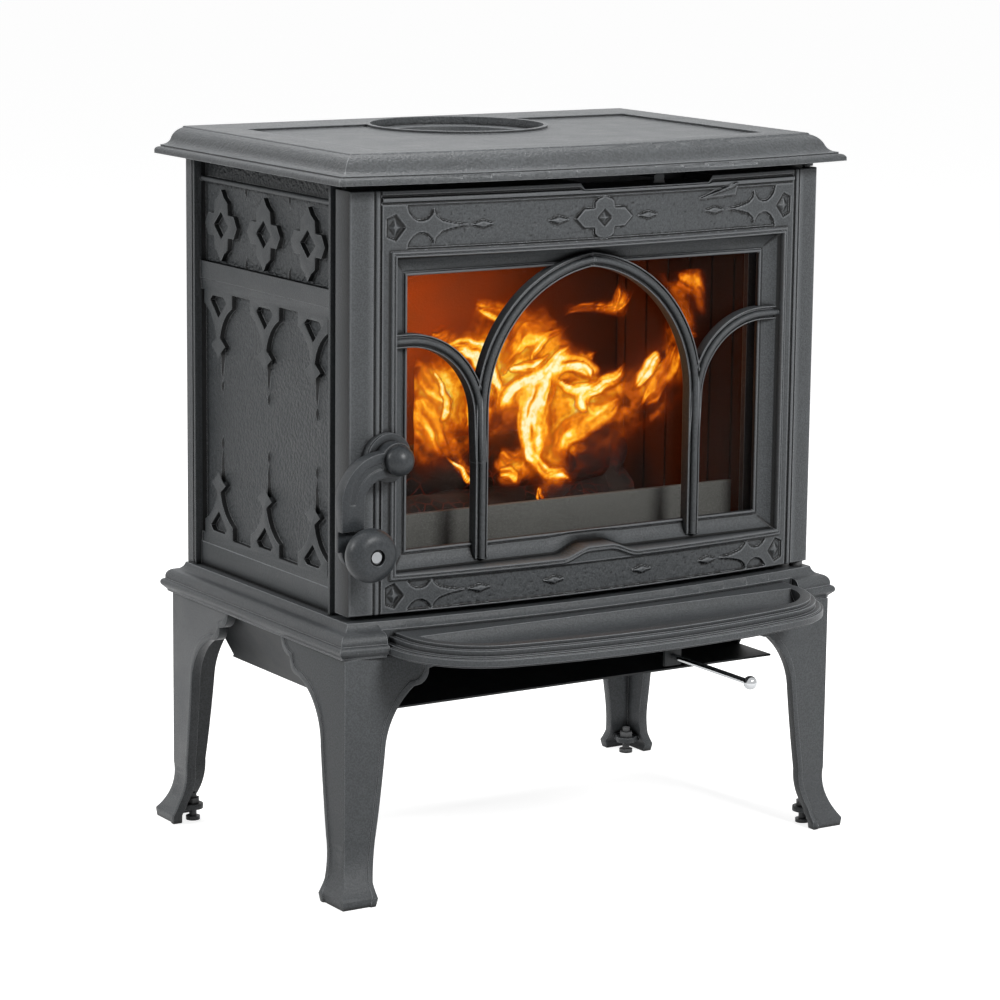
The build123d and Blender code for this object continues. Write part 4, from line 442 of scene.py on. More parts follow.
# ---- door
DOOR_HALF, DOOR_LOW, DOOR_HIGH, DOOR_DEPTH = 277.2, 282.7, 696.0, 27.0
BOW, BOW_RISE = 1757.42, 22.0                     # radius of the door's bow, and its height
WINDOW_HALF, WINDOW_LOW, WINDOW_HIGH = 209.5, 342.3, 611.0
COVE, COVE_FRONT, COVE_BACK = 20.0, -4.0, 7.0     # cove round the window and its y at both edges
CASING = 6.0                                      # double ridge round the cove
GLASS_LEDGE = 10.0
NOTCH = (-29.0, -24.0, 128.0, 133.0, 7.0)         # notch for the air lever in the door's top edge
BAND_TOP, BAND_FOOT = 660.0, 300.5                # middles of the two bands of ornament
FIELD = 2.4                                       # depth of the bands' rough ground
BENT_FROM = 686.8                                 # the notch bends down the door's top edge from this height
GROOVE_REACH = 2.1                                # how far from a point its hollow is measured
PIVOT_X, PIVOT_Z, PIVOT_PAD = -240.0, 439.0, 25.0  # place and reach of the handle's boss


def bow_y(x):
    """y of the door's bowed front before any moulding."""
    return (BOW - BOW_RISE) - np.sqrt(BOW * BOW - x * x)


def end_figure(side, middle):
    """Outline of the four-pointed figure at a band's end, and of the sunk panel in its frame."""
    upper = [(154, 0), (163, 1.0), (173, 2.9), (182, 5.4), (187.5, 10), (190, 16.5), (192.3, 11.5), (195.8, 7.6),
             (201.6, 5.4), (207.4, 6.0), (212, 8.8), (216.5, 14), (219, 23)]
    outline = upper + [(247, 23), (247, -23)] + [(x, -z) for x, z in reversed(upper[1:])]
    sunk = [(220, 0), (230, 12.6), (239.6, 8.6), (239.6, -8.6), (230, -12.6)]
    return [[(side * x, middle + z) for x, z in shape] for shape in (outline, sunk)]


def quatrefoil(middle):
    """Outline of the four-lobed figure with pointed arms."""
    right = [(0, 21.5), (8.2, 18.6), (11.4, 15.2), (11.4, 9.8), (24.2, 9.2), (33.5, 0)]
    right += [(x, -z) for x, z in reversed(right[:-1])]
    return [(x, z + middle) for x, z in right + [(-x, z) for x, z in reversed(right[1:-1])]]


def lozenge(x, z, cx, cz, half_x, half_z):
    """Signed distance to an upright lozenge round (cx, cz)."""
    return polygon_distance([(cx, cz + half_z), (cx + half_x, cz), (cx, cz - half_z), (cx - half_x, cz)], x, z)


def band_relief(x, z, middle, with_quatrefoil):
    """Height of one band: rough ground with the figures standing on it."""
    figures = [end_figure(side, middle)[0] for side in (-1, 1)] + [quatrefoil(middle)] * with_quatrefoil
    figure = np.min([polygon_distance(outline, x, z) for outline in figures], axis=0)
    height = -FIELD * ramp(figure, -0.5, 0.7)
    for side in (-1, 1):
        height -= 2.4 * ramp(-polygon_distance(end_figure(side, middle)[1], x, z), -0.6, 1.2)
        height += 0.75 * np.clip(-lozenge(x, z, side * 230.5, middle, 6.2, 8.2), 0, 3.4)
        for place in (53, 137.5):
            bud = -lozenge(x, z, side * place, middle, 12.6, 3.8)
            height += FIELD * (0.6 * ramp(bud, -0.3, 0.5) + 0.5 * np.clip(bud / 2.2, 0, 1))
    if with_quatrefoil:
        height -= 2.2 * ramp(-lozenge(x, z, 0, middle, 8.6, 8.6), -0.6, 1.0)
        height += 0.75 * np.clip(-lozenge(x, z, 0, middle, 5.6, 5.6), 0, 3.8)
    ground = ramp(figure, 0.6, 2.2)
    return height + ground * (0.24 * lumps(x, z, 2.4, 5) + 0.24 * lumps(x, z, 4.6, 6))


def bead(distance, half):
    """Cross-section of a round bead of that half width, from 0 to 1."""
    return np.sqrt(np.clip(1 - (distance / half) ** 2, 0, 1))


def door_face(x, z):
    """y of the door's front at (x, z)."""
    across = np.abs(x)
    height = np.zeros(x.shape)
    for low, high, middle, figured in ((638.4, 682.2, BAND_TOP, True), (284.4, 315.2, BAND_FOOT, False)):
        inside = (across < 243.5) & (z > low) & (z < high)
        edge = ramp(np.minimum(np.minimum(z - low, high - z), 243.8 - across), 0.0, 1.4)
        height += np.where(inside, band_relief(x, z, middle, figured) * edge, 0)
    # upright mouldings between the outer stiles and the bands
    height += -1.6 * bead(across - 251.6, 1.1) + 1.3 * bead(across - 248.6, 1.9) - 1.8 * bead(across - 245.4, 1.3)
    # mouldings above the upper band
    top = np.where(across < 244.2, 1.0, 0.0)
    height += top * (-1.9 * bead(z - 690.2, 1.2) + 1.3 * bead(z - 686.6, 2.3) - 1.8 * bead(z - 683.2, 1.2))
    # wedge that marks the air lever's travel
    wedge, crown = [polygon_distance([(119, 672.5), (163.5, 687.5), (166, 684.5), corner], x, z)
                    for corner in ((164, 674.5), (160, 682.0))]
    height = np.where(wedge < 0.4, np.maximum(height, -0.2), height) + 2.0 * ramp(-crown, -0.2, 0.8)
    # rounded outer edges
    border = np.minimum(DOOR_HALF - across, np.minimum(z - DOOR_LOW, DOOR_HIGH - z))
    height -= 1.8 * (1 - np.sqrt(np.clip(1 - (1 - np.clip(border / 1.8, 0, 1)) ** 2, 0, 1)))
    face = bow_y(x) - height
    # casing and cove round the window; the casing rises in an ogee below its middle
    hump = 9.5 * ramp(46 - across, 0, 34) * (z < WINDOW_LOW)
    side, foot, head = across - WINDOW_HALF, WINDOW_LOW - z, z - WINDOW_HIGH
    width = COVE - hump
    foot = np.where(foot < width, foot * COVE / width, foot + hump)
    d = np.maximum(np.maximum(side, foot), head)
    casing = ramp(d, COVE, COVE + 0.2) - ramp(d, COVE + CASING - 0.4, COVE + CASING + 0.6)
    ridges = 2.9 * bead(d - COVE - 1.5, 1.5) + 2.4 * bead(d - COVE - 4.5, 1.5) + 0.6 * casing
    face = face - np.where(d > COVE, ridges, 0)
    t = np.clip((d - 3.2) / (COVE - 3.2), 0, 1)
    hollow = COVE_BACK + (COVE_FRONT - COVE_BACK) * (0.32 * t + 0.68 * t ** 2.3)
    lip, quirk = 2.3 * bead(d - 1.6, 1.6), 0.9 * bead(d - 4.2, 0.9)
    return np.where(d <= COVE, hollow - lip + quirk, face)


def hollows(x, z):
    """How deep a groove or steep wall (1) or how sharp an edge (-1) the door's front has at each point; the paint
    draws the first dark as painted shade and the second pale as a painted highlight.
    """
    here = door_face(x, z)
    turns = np.linspace(0, 2 * math.pi, 8, endpoint=False)
    wide = sum(door_face(x + GROOVE_REACH * math.cos(t), z + GROOVE_REACH * math.sin(t)) for t in turns) / 8
    across = door_face(x + 0.6, z) - door_face(x - 0.6, z)
    upward = door_face(x, z + 0.6) - door_face(x, z - 0.6)
    in_band = (np.abs(x) < 244) & ((z > 638) | (z < 315.5))
    steep = ramp(np.hypot(across, upward) / 1.2, 0.45, 1.2) * in_band
    deep = ramp(here - wide, 0.07, 0.34)
    sharp = ramp(wide - here, 0.12, 0.55)
    return np.clip(np.maximum(deep, steep), 0, 1) - 0.8 * sharp * (1 - steep)


def door_skin():
    """The door's cast front, in two halves: the mouldings, bands and casing, with walls round its edges."""
    half = spans(0, 1.0, 206, 0.5, 214, 0.8, 229.2, 0.15, 229.5, 0.4, 236, 0.7, 243, 0.45, 254, 5.0, 275, 0.45,
                 DOOR_HALF)
    up = spans(DOOR_LOW, 0.45, 285.4, 0.95, 315, 0.55, WINDOW_LOW, 7.0, WINDOW_HIGH, 0.5, 614.8, 1.6, 630.7, 0.15,
               631, 0.45, 638, 0.95, 682, 0.45, 692, 0.5, DOOR_HIGH)
    for name, side in (("door_front_left", -1), ("door_front_right", 1)):
        x, z = np.meshgrid(np.sort(side * half), up, indexing="ij")
        y = door_face(x, z)
        groove = hollows(x, z).reshape(-1)
        # the top edge dips at the notch
        a, b, c, d, drop = NOTCH
        dip = drop * np.clip(np.minimum((x - a) / (b - a), (d - x) / (d - c)), 0, 1)
        z = z - dip * np.clip((z - BENT_FROM) / (DOOR_HIGH - BENT_FROM), 0, 1)
        verts = [tuple(at(*p)) for p in np.stack([x, y, z], -1).reshape(-1, 3)]
        solid = (np.abs(x) > WINDOW_HALF + 1e-6) | (z < WINDOW_LOW - 1e-6) | (z > WINDOW_HIGH + 1e-6)
        faces = [ring for ring in cells_of_grid(*x.shape) if solid.take(ring).any()]
        border = {}               # edges with a face on one side only; a dictionary keeps their order
        for ring in faces:
            for p, q in zip(ring, ring[1:] + ring[:1]):
                if not border.pop((q, p), False):
                    border[(p, q)] = True
        middle = {i for i in range(len(verts)) if abs(verts[i][0]) < 1e-9}
        back = {}
        for p, q in border:
            if p in middle and q in middle:
                continue
            for k in (p, q):
                if k not in back:
                    vx, _, vz = verts[k]
                    inner = (abs(vx) < (WINDOW_HALF + 0.3) * MM
                             and (WINDOW_LOW - 0.3) * MM < vz < (WINDOW_HIGH + 0.3) * MM)
                    back[k] = len(verts)
                    verts.append((vx, at(0, GLASS_LEDGE if inner else DOOR_DEPTH, 0).y, vz))
            faces.append((q, p, back[p], back[q]))
        mesh = bpy.data.meshes.new(name)
        mesh.from_pydata(verts, [], faces)
        mesh.validate()
        # The hollow attribute has the paint draw grooves and steep walls dark as painted shade, and sharp edges pale
        # as a painted highlight.
        carry(mesh, "hollow", np.concatenate([groove, np.zeros(len(verts) - len(groove))]))
        piece(name, smooth(mesh, 42), painted_casting, "door", stands_for=("door_frame",))


def door_back():
    """What lies behind the door's front: the hollow, its flanges, the rope's carrier and the clip bosses."""
    mesh, form = merged_copy("door_frame")
    near, skin = 0.1, 4.5         # what counts as on a surface, and how deep the cast front reaches

    def in_front(face):
        """Whether a face belongs to what the cast front replaces."""
        x, y, z = np.array([(v.co.x / MM, (v.co.y - BACK) / MM, v.co.z / MM) for v in face.verts]).T
        if (np.hypot(x - PIVOT_X, z - PIVOT_Z) < PIVOT_PAD).all():
            return False
        if (abs(x) > DOOR_HALF - near).all() or (z < DOOR_LOW + near).all():
            return True
        if (z > DOOR_HIGH - NOTCH[4] - 0.3).all() and y.min() < DOOR_DEPTH - near:
            return True
        reach = COVE + 0.2
        if ((abs(x) < WINDOW_HALF + reach) & (WINDOW_LOW - reach < z) & (z < WINDOW_HIGH + reach)).all():
            walls = (abs(abs(x) - WINDOW_HALF), abs(z - WINDOW_LOW), abs(z - WINDOW_HIGH))
            return any((off < near).all() for off in walls) or (y < GLASS_LEDGE - near).all()
        return (y < bow_y(x) + skin).all()

    bmesh.ops.delete(form, geom=[f for f in form.faces if in_front(f)], context="FACES")
    bmesh.ops.delete(form, geom=[v for v in form.verts if not v.link_faces], context="VERTS")
    piece("door_back", smooth(store(form, mesh), 32), painted_casting, "door")


# ---- what follows a path
def new_group(name, **inputs):
    """A geometry tree with named inputs of these kinds; returns it, their identifiers and its source."""
    tree = bpy.data.node_groups.new(name, "GeometryNodeTree")
    keys = {label: tree.interface.new_socket(label, in_out="INPUT", socket_type="NodeSocket" + kind).identifier
            for label, kind in inputs.items()}
    tree.interface.new_socket("Geometry", in_out="OUTPUT", socket_type="NodeSocketGeometry")
    return tree, keys, tree.nodes.new("NodeGroupInput").outputs


def end_group(tree, geometry, material):
    """Ends a tree: its instances are made real and its material is set."""
    real = add(tree, "GeometryNodeRealizeInstances", {"Geometry": geometry})
    painted = add(tree, "GeometryNodeSetMaterial", {"Geometry": real, "Material": material})
    add(tree, "NodeGroupOutput", {0: painted})


def grown(obj, tree, keys, **values):
    """The mesh that the tree makes of an object with those inputs."""
    modifier = obj.modifiers.new(tree.name, "NODES")
    modifier.node_group = tree
    for label, value in values.items():
        modifier[keys[label]] = value
    return evaluated(obj)


def poly_curve(name, lines, closed):
    """A curve object of straight-sided splines through points in metres."""
    data = bpy.data.curves.new(name, "CURVE")
    data.dimensions = "3D"
    for points in lines:
        spline = data.splines.new("POLY")
        spline.points.add(len(points) - 1)
        for target, point in zip(spline.points, points):
            target.co = (*point, 1.0)
        spline.use_cyclic_u = closed
    return linked(name, data)


def sweep_tree():
    """Sweeps a profile along flat curves drawn in (x, z) and stands the result up to face the front."""
    tree, keys, source = new_group("sweep", Path="Geometry", Profile="Object", Material="Material")
    level = add(tree, "GeometryNodeSetCurveNormal", {"Curve": source["Path"]}, mode="Z_UP")
    shape = add(tree, "GeometryNodeObjectInfo", {"Object": source["Profile"]}, "Geometry", transform_space="ORIGINAL")
    body = add(tree, "GeometryNodeCurveToMesh", {"Curve": level, "Profile Curve": shape, "Fill Caps": True})
    upright = add(tree, "GeometryNodeTransform", {"Geometry": body, "Rotation": (math.pi / 2, 0.0, 0.0)})
    end_group(tree, upright, source["Material"])
    return tree, keys


def swept(name, lines, profile, material):
    """Mesh of a profile (across, forward) swept along flat lines in (x, z), in millimetres from the door's face."""
    path = poly_curve(name, [[(x * MM, z * MM, 0.0) for x, z in line] for line in lines], False)
    section = poly_curve(name + "_section", [[(u * MM, v * MM, 0.0) for u, v in profile]], True)
    mesh = grown(path, *sweep_tree(), Profile=section, Material=material)
    bpy.data.objects.remove(section)
    mesh.transform(Matrix.Translation((0, BACK, 0)))
    form = form_of(mesh)
    bmesh.ops.recalc_face_normals(form, faces=form.faces)
    return store(form, mesh)


def arc_points(cx, cz, radius, start, end, count):
    """Points of an arc, with its angles in degrees."""
    turn = np.radians(np.linspace(start, end, count))
    return list(zip(cx + radius * np.cos(turn), cz + radius * np.sin(turn)))


def window_tracery():
    """Cast bars before the glass: a pointed main arch on two mullions, and a half arch on each side."""
    spring, main_r, offset = 473.8, 143.5, 16.0       # main arch: height of its spring, radius, centres
    side_x, side_z, side_r = 212.0, 467.0, 82.0       # half arches: centre and radius
    mullion, sill = 127.5, 327.0
    apex = math.degrees(math.acos(offset / main_r))
    mains, sides = [], []
    for side in (1, -1):
        main = arc_points(-offset, spring, main_r, 0, apex + 0.4, 40)
        mains.append([(side * x, z) for x, z in [(mullion, z) for z in np.linspace(sill, spring - 4, 12)] + main])
        line = [(mullion + 0.5, side_z - 44)] + arc_points(side_x, side_z, side_r, 180, 90, 30)
        line += [(side_x + d, side_z + side_r) for d in (6, 12, 17)]
        sides.append([(side * x, z) for x, z in line])
    half = [(0, 6.2), (1.7, 5.7), (2.9, 4.3), (3.4, 2.4), (3.7, 0.6), (4.7, 0.2), (5.3, 1.0), (5.7, 2.2),
            (6.4, 2.5), (7.0, 2.0), (7.2, 0.6), (7.2, -9.4)]
    section = [(u, -v) for u, v in half + [(-u, v) for u, v in reversed(half[1:])]]
    arches = (swept("main_arch", mains, section, painted_casting),
              swept("side_arches", sides, [(u * 0.93, v + 0.7) for u, v in section], painted_casting))
    mesh = store(form_of(*arches), bpy.data.meshes.new("window_tracery"))
    piece("window_tracery", smooth(mesh, 38), painted_casting, "door")


# ---- castings that keep the solid's shape
LUG_TOP = 18.0              # top of the lug that carries the levelling screw in each foot


def sink_lug(form):
    """Draws the lug's end, whose upper corner shows through the foot's flared wall, back to that wall."""
    middle = sum(v.co.y for v in form.verts) / len(form.verts)
    for vert in form.verts:
        for edge in vert.link_edges:
            far = edge.other_vert(vert)
            level = max(abs(v.co.z - LUG_TOP * MM) for v in (vert, far)) < 0.05 * MM
            deep = abs(vert.co.y - middle) - abs(far.co.y - middle)
            if level and 0.3 * MM < deep < 1.0 * MM and abs(vert.co.x - far.co.x) < 0.3 * MM:
                vert.co = far.co.copy()
    bmesh.ops.remove_doubles(form, verts=form.verts, dist=MERGE)


def rounded_copy(node, edge, material=painted_casting, body="stove"):
    """A merged copy of a CAD node with its sharp edges rounded, as cast and painted iron has them."""
    mesh, form = merged_copy(node)
    if node.startswith("leg_"):
        bmesh.ops.dissolve_limit(form, angle_limit=SAME_PLANE, verts=form.verts, edges=form.edges)
        sink_lug(form)
    made = own_normals(rounded(node + "_dressed", mesh, form, edge, "MITER_ARC"))
    piece(node + "_dressed", smooth(made, 40), material, body, (node,))


# ---- fire
SIGHT_ACROSS, SIGHT_DOWN = 0.635, 0.265   # where a line of sight through the window goes, for each mm of depth
FIREBOX_HALF = 224.0                      # the flames stay between the side burn plates


def gas_heat(strands, x, z, swell, strength, seed):
    """Heat from 0 to 1 at points of the window's plane, of gas that rises along the strands."""
    u = x + 5.5 * lumps(x, z, 27, seed) + 2.4 * lumps(x, z, 10, seed + 1)
    w = z + 5.5 * lumps(x, z, 31, seed + 2) + 2.4 * lumps(x, z, 12, seed + 3)
    cold = np.ones(x.shape)
    run = np.linspace(0, 1, 60)
    for n, strand in enumerate(strands):
        points = np.reshape(strand, (-1, 3))
        line = np.stack([np.interp(run, np.linspace(0, 1, len(points)), points[:, k]) for k in range(3)])
        for _ in range(12):
            line[:, 1:-1] = (line[:, :-2] + 2 * line[:, 1:-1] + line[:, 2:]) / 4
        gone = np.concatenate([[0], np.cumsum(np.hypot(*np.diff(line[:2])))])
        slope = np.gradient(line[:2], axis=1)
        slope /= np.hypot(*slope)
        half = swell * np.maximum(line[2], 2.0)
        off = np.hypot(u[:, None] - line[0], w[:, None] - line[1]) / half
        near = off.argmin(1)
        off = off[np.arange(len(near)), near]
        side = (slope[0][near] * (w - line[1][near]) - slope[1][near] * (u - line[0][near])) / half[near]
        streak = 0.5 + 0.5 * lumps(2.3 * side + 7 * n, gone[near] / 26, 1.0, seed + 4)
        fine = 0.5 + 0.5 * lumps(6.5 * side + 5 * n, gone[near] / 34, 1.0, seed + 5)
        fade = ramp(run[near], 0.0, 0.16) * (1 - ramp(run[near], 0.72, 1.0))
        heat = np.exp(-1.5 * off ** 2.6) * (0.1 + 0.65 * streak + 0.5 * fine ** 2) * (0.25 + 0.75 * fade)
        cold *= 1 - np.clip(strength * heat, 0, 0.98)
    return 1 - cold


def flames():
    """Three curtains of burning gas, one behind the other, that carry their heat as an attribute."""
    curtains = ((124, YELLOW_STRANDS + ORANGE_STRANDS, 3.4, 0.5, 20), (106, ORANGE_STRANDS, 1.3, 0.8, 30),
                (90, YELLOW_STRANDS, 1.35, 1.6, 40))
    line, up = np.arange(-209, 186, 1.6), np.arange(362, 612, 1.6)
    verts, faces, heats = [], [], []
    for depth, strands, swell, strength, seed in curtains:
        x, z = [a.reshape(-1) for a in np.meshgrid(line, up, indexing="ij")]
        heat = gas_heat(strands, x, z, swell, strength, seed)
        y = depth + 7 * lumps(x, z, 60, seed + 6)
        there = np.stack([x + SIGHT_ACROSS * y, y, z - SIGHT_DOWN * y], 1)
        first = len(verts)
        verts += [tuple(at(*p)) for p in there]
        heat *= ramp(FIREBOX_HALF - np.abs(there[:, 0]), 0.0, 22.0)
        heats.append(heat)
        live = (heat > 0.03) & (np.abs(there[:, 0]) < FIREBOX_HALF)
        faces += [[first + k for k in ring] for ring in cells_of_grid(len(line), len(up)) if live.take(ring).all()]
    used = sorted({k for face in faces for k in face})
    order = {k: n for n, k in enumerate(used)}
    mesh = bpy.data.meshes.new("flames")
    mesh.from_pydata([verts[k] for k in used], [], [[order[k] for k in face] for face in faces])
    carry(mesh, "gas_heat", np.concatenate(heats)[used])
    mesh.shade_smooth()
    piece("flames", mesh, gas)


def log_tree():
    """A split log along a line: an uneven section, rough bark and sawn ends."""
    tree, keys, source = new_group("fire_log", Path="Geometry", Radius="Float", Roughness="Float", Seed="Float",
                                   Material="Material")
    even = add(tree, "GeometryNodeResampleCurve", {"Curve": source["Path"], "Count": 64})
    ring = add(tree, "GeometryNodeCurvePrimitiveCircle", {"Resolution": 56, "Radius": source["Radius"]})
    trunk = add(tree, "GeometryNodeCurveToMesh", {"Curve": even, "Profile Curve": ring, "Fill Caps": True})
    place = add(tree, "GeometryNodeInputPosition")
    along = vector_maths(tree, "MULTIPLY", place, (0.35, 1.0, 1.0))
    fine, broad = [add(tree, "ShaderNodeTexNoise", {"Vector": spot, "W": source["Seed"], "Scale": scale,
                                                    "Detail": detail}, noise_dimensions="4D")
                   for spot, scale, detail in ((along, 60.0, 5.0), (place, 14.0, 2.0))]
    height = maths(tree, "SUBTRACT", maths(tree, "MULTIPLY_ADD", broad, 2.2, fine), 1.6)
    push = vector_maths(tree, "SCALE", add(tree, "GeometryNodeInputNormal"),
                        maths(tree, "MULTIPLY", height, source["Roughness"]))
    end_group(tree, add(tree, "GeometryNodeSetPosition", {"Geometry": trunk, "Offset": push}), source["Material"])
    return tree, keys


def fire_logs():
    """The burning logs, in one piece."""
    tree, keys = log_tree()
    logs = []
    for n, (first, last, radius) in enumerate(FIRE_LOGS):
        path = poly_curve("log_%d" % n, [[tuple(at(*first)), tuple(at(*last))]], False)
        logs.append(grown(path, tree, keys, Radius=radius * MM, Roughness=5.5 * MM, Seed=3.1 * n, Material=bark))
    form = form_of(*logs)
    bmesh.ops.remove_doubles(form, verts=form.verts, dist=0.01 * MM)
    bmesh.ops.recalc_face_normals(form, faces=form.faces)
    mesh = store(form, bpy.data.meshes.new("fire_logs"))
    piece("fire_logs", smooth(mesh, 50), bark)


def ember_bed():
    """Charcoal scattered over the fire bed: lumps of a few dozen faces, piled highest in the middle."""
    tree, keys, source = new_group("ember_bed", Lump_size="Float", Seed="Int", Material="Material")
    bed = add(tree, "GeometryNodeMeshGrid", {"Size X": 0.42, "Size Y": 0.17, "Vertices X": 40, "Vertices Y": 18})
    far = vector_maths(tree, "MULTIPLY", add(tree, "GeometryNodeInputPosition"), (5.0, 9.0, 0.0))
    reach = add(tree, "ShaderNodeVectorMath", {0: far}, "Value", operation="LENGTH")
    rise = add(tree, "ShaderNodeCombineXYZ", {"Z": map_range(tree, reach, 1.3, 0.0, 0.0, 26 * MM, "SMOOTHSTEP")})
    piled = add(tree, "GeometryNodeSetPosition", {"Geometry": bed, "Offset": rise})
    spread = add(tree, "GeometryNodeDistributePointsOnFaces",
                 {"Mesh": piled, "Density": 9000.0, "Seed": source["Seed"]}, distribute_method="RANDOM")
    lump = add(tree, "GeometryNodeMeshIcoSphere", {"Radius": source["Lump_size"], "Subdivisions": 2})
    wobble = add(tree, "ShaderNodeTexNoise", {"Scale": 60.0, "Detail": 2.0}, "Color")
    dented = add(tree, "GeometryNodeSetPosition",
                 {"Geometry": lump, "Offset": vector_maths(tree, "SCALE", wobble, 9 * MM)})
    turn = add(tree, "FunctionNodeRandomValue", {0: (0.0, 0.0, 0.0), 1: (6.28, 6.28, 6.28), "Seed": 11},
               data_type="FLOAT_VECTOR")
    grow = add(tree, "FunctionNodeRandomValue", {2: 0.35, 3: 1.0, "Seed": 12}, 1, data_type="FLOAT")
    placed = add(tree, "GeometryNodeInstanceOnPoints",
                 {"Points": spread, "Instance": dented, "Rotation": turn, "Scale": grow})
    end_group(tree, placed, source["Material"])
    holder = linked("bed_raw", bpy.data.meshes.new("bed_raw"))
    mesh = grown(holder, tree, keys, Lump_size=9.5 * MM, Seed=4, Material=charcoal)
    mesh.transform(Matrix.Translation(at(0, 165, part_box("inner_bottom")[1].z / MM + 6)))
    mesh.shade_flat()
    piece("ember_bed", mesh, charcoal)


# logs: start, end (working frame, mm) and radius
FIRE_LOGS = (((-175, 150, 322), (150, 190, 330), 36), ((-150, 235, 330), (185, 215, 322), 34),
             ((-120, 205, 372), (120, 160, 392), 31), ((60, 120, 318), (190, 250, 372), 24))

# flames as they show in the window: from root to tip, x, z and half width in millimetres of each point
YELLOW_STRANDS = (
    (-113, 492, 2.8, -115, 511, 9.4, -124, 534, 12.2, -143, 548, 10.0, -163, 545, 7.2, -174, 536, 2.2),
    (-185, 527, 1.4, -172, 514, 3.3, -166, 497, 4.4, -168, 483, 3.3, -175, 473, 1.1),
    (-62, 419, 5.6, -67, 444, 14.4, -65, 466, 18.3, -65, 489, 12.8, -50, 510, 9.4, -32, 529, 6.7, -17, 543, 1.4),
    (-107, 472, 3.9, -101, 491, 11.1, -80, 501, 9.4, -59, 508, 6.1, -47, 517, 1.7),
    (-39, 507, 2.2, -32, 519, 7.2, -14, 521, 8.3, 2, 509, 6.7, 8, 498, 1.4),
    (7, 495, 1.4, -11, 490, 5.6, -31, 494, 5.0, -41, 504, 1.4),
    (-74, 442, 1.7, -67, 427, 6.1, -50, 415, 7.2, -32, 411, 5.0, -19, 402, 1.1),
    (-108, 418, 2.8, -95, 416, 5.0, -86, 410, 3.9, -81, 402, 1.1),
    (-162, 436, 1.1, -152, 424, 3.3, -140, 412, 3.3, -127, 402, 1.1),
    (-2, 465, 2.2, -11, 475, 8.3, -2, 487, 8.3, 16, 494, 7.2, 37, 502, 6.1, 53, 514, 2.2),
    (58, 491, 2.8, 76, 505, 7.8, 85, 520, 6.7, 93, 525, 1.4),
    (-92, 522, 1.7, -80, 519, 5.0, -62, 521, 4.4, -50, 527, 1.1),
)
ORANGE_STRANDS = (
    (-206, 506, 3.3, -197, 487, 16.7, -185, 467, 17.2, -174, 449, 11.1, -164, 432, 2.2),
    (-152, 465, 5.6, -146, 484, 15.6, -139, 503, 13.9, -134, 522, 8.3, -137, 537, 2.2),
    (-92, 539, 3.3, -79, 551, 12.8, -59, 551, 11.1, -38, 558, 6.1, -21, 565, 1.4),
    (-70, 528, 1.7, -68, 541, 7.2, -56, 547, 7.8, -50, 554, 2.2),
    (-35, 576, 1.1, -14, 582, 3.3, 7, 581, 3.9, 30, 573, 3.3, 46, 583, 2.2, 61, 595, 1.1),
    (29, 573, 1.1, 35, 584, 2.8, 41, 595, 2.8, 44, 605, 1.1),
    (-136, 589, 1.7, -122, 582, 6.7, -101, 576, 9.4, -83, 584, 8.9, -70, 595, 3.3),
    (-197, 568, 1.4, -186, 561, 5.0, -177, 563, 5.6, -167, 567, 1.7),
    (-206, 528, 2.8, -197, 516, 9.4, -185, 505, 12.2, -173, 495, 6.7, -167, 485, 1.4),
    (46, 482, 2.8, 28, 470, 13.9, -2, 455, 16.7, -28, 447, 16.1, -35, 432, 12.8, -20, 415, 2.8),
    (-14, 486, 1.4, -8, 475, 4.4, 7, 469, 5.0, 22, 473, 1.7), (-11, 528, 1.1, -2, 525, 2.2, 13, 533, 1.1),
    (70, 465, 3.3, 82, 482, 12.8, 90, 499, 13.9, 102, 511, 12.2, 111, 524, 8.3, 114, 534, 1.7),
    (102, 567, 2.2, 117, 554, 6.1, 129, 543, 6.7, 144, 540, 1.7),
    (111, 611, 5.6, 129, 597, 13.9, 144, 581, 12.8, 156, 565, 7.2, 147, 555, 1.4),
    (177, 600, 5.6, 183, 582, 9.4, 177, 564, 7.2, 162, 554, 1.7),
    (-110, 516, 2.2, -101, 530, 8.3, -92, 544, 7.2, -86, 556, 2.2),
    (-209, 488, 2.2, -206, 473, 5.6, -194, 458, 6.7, -182, 447, 2.2), (-59, 399, 1.1, -59, 390, 1.9, -56, 381, 1.1),
    (-109, 438, 1.7, -98, 429, 4.4, -86, 426, 3.3, -74, 430, 1.4),
)


# ---- side panels and other castings
FIGURE_LIFT = 2.4           # height of the points, buds and spikes on the side panels' field
QUATRE_MIDDLE, QUATRE_PITCH = 187.0, 90.0
COLUMN_MIDDLE, COLUMN_PITCH = 185.0, 98.5
ARCADE_MIDDLE, ARCADE_TOP = 439.35, 566.5
SPIKE_FEET = ((596.0, 13.0), (677.5, -13.0))


def ridge(points, lift):
    """A low roof over a slim symmetrical figure: its ridge follows the middle line and dies at the points.

    points are (half width, height along the figure); the ridge is as high as the figure is wide, up to lift.
    """
    verts, faces = [], []
    for half, along in points:
        verts += [(-half, along, 0.0), (0.0, along, min(lift, 1.1 * half)), (half, along, 0.0)]
    for i in range(0, len(verts) - 3, 3):
        faces += [(i, i + 1, i + 4, i + 3), (i + 1, i + 2, i + 5, i + 4)]
    return verts, faces


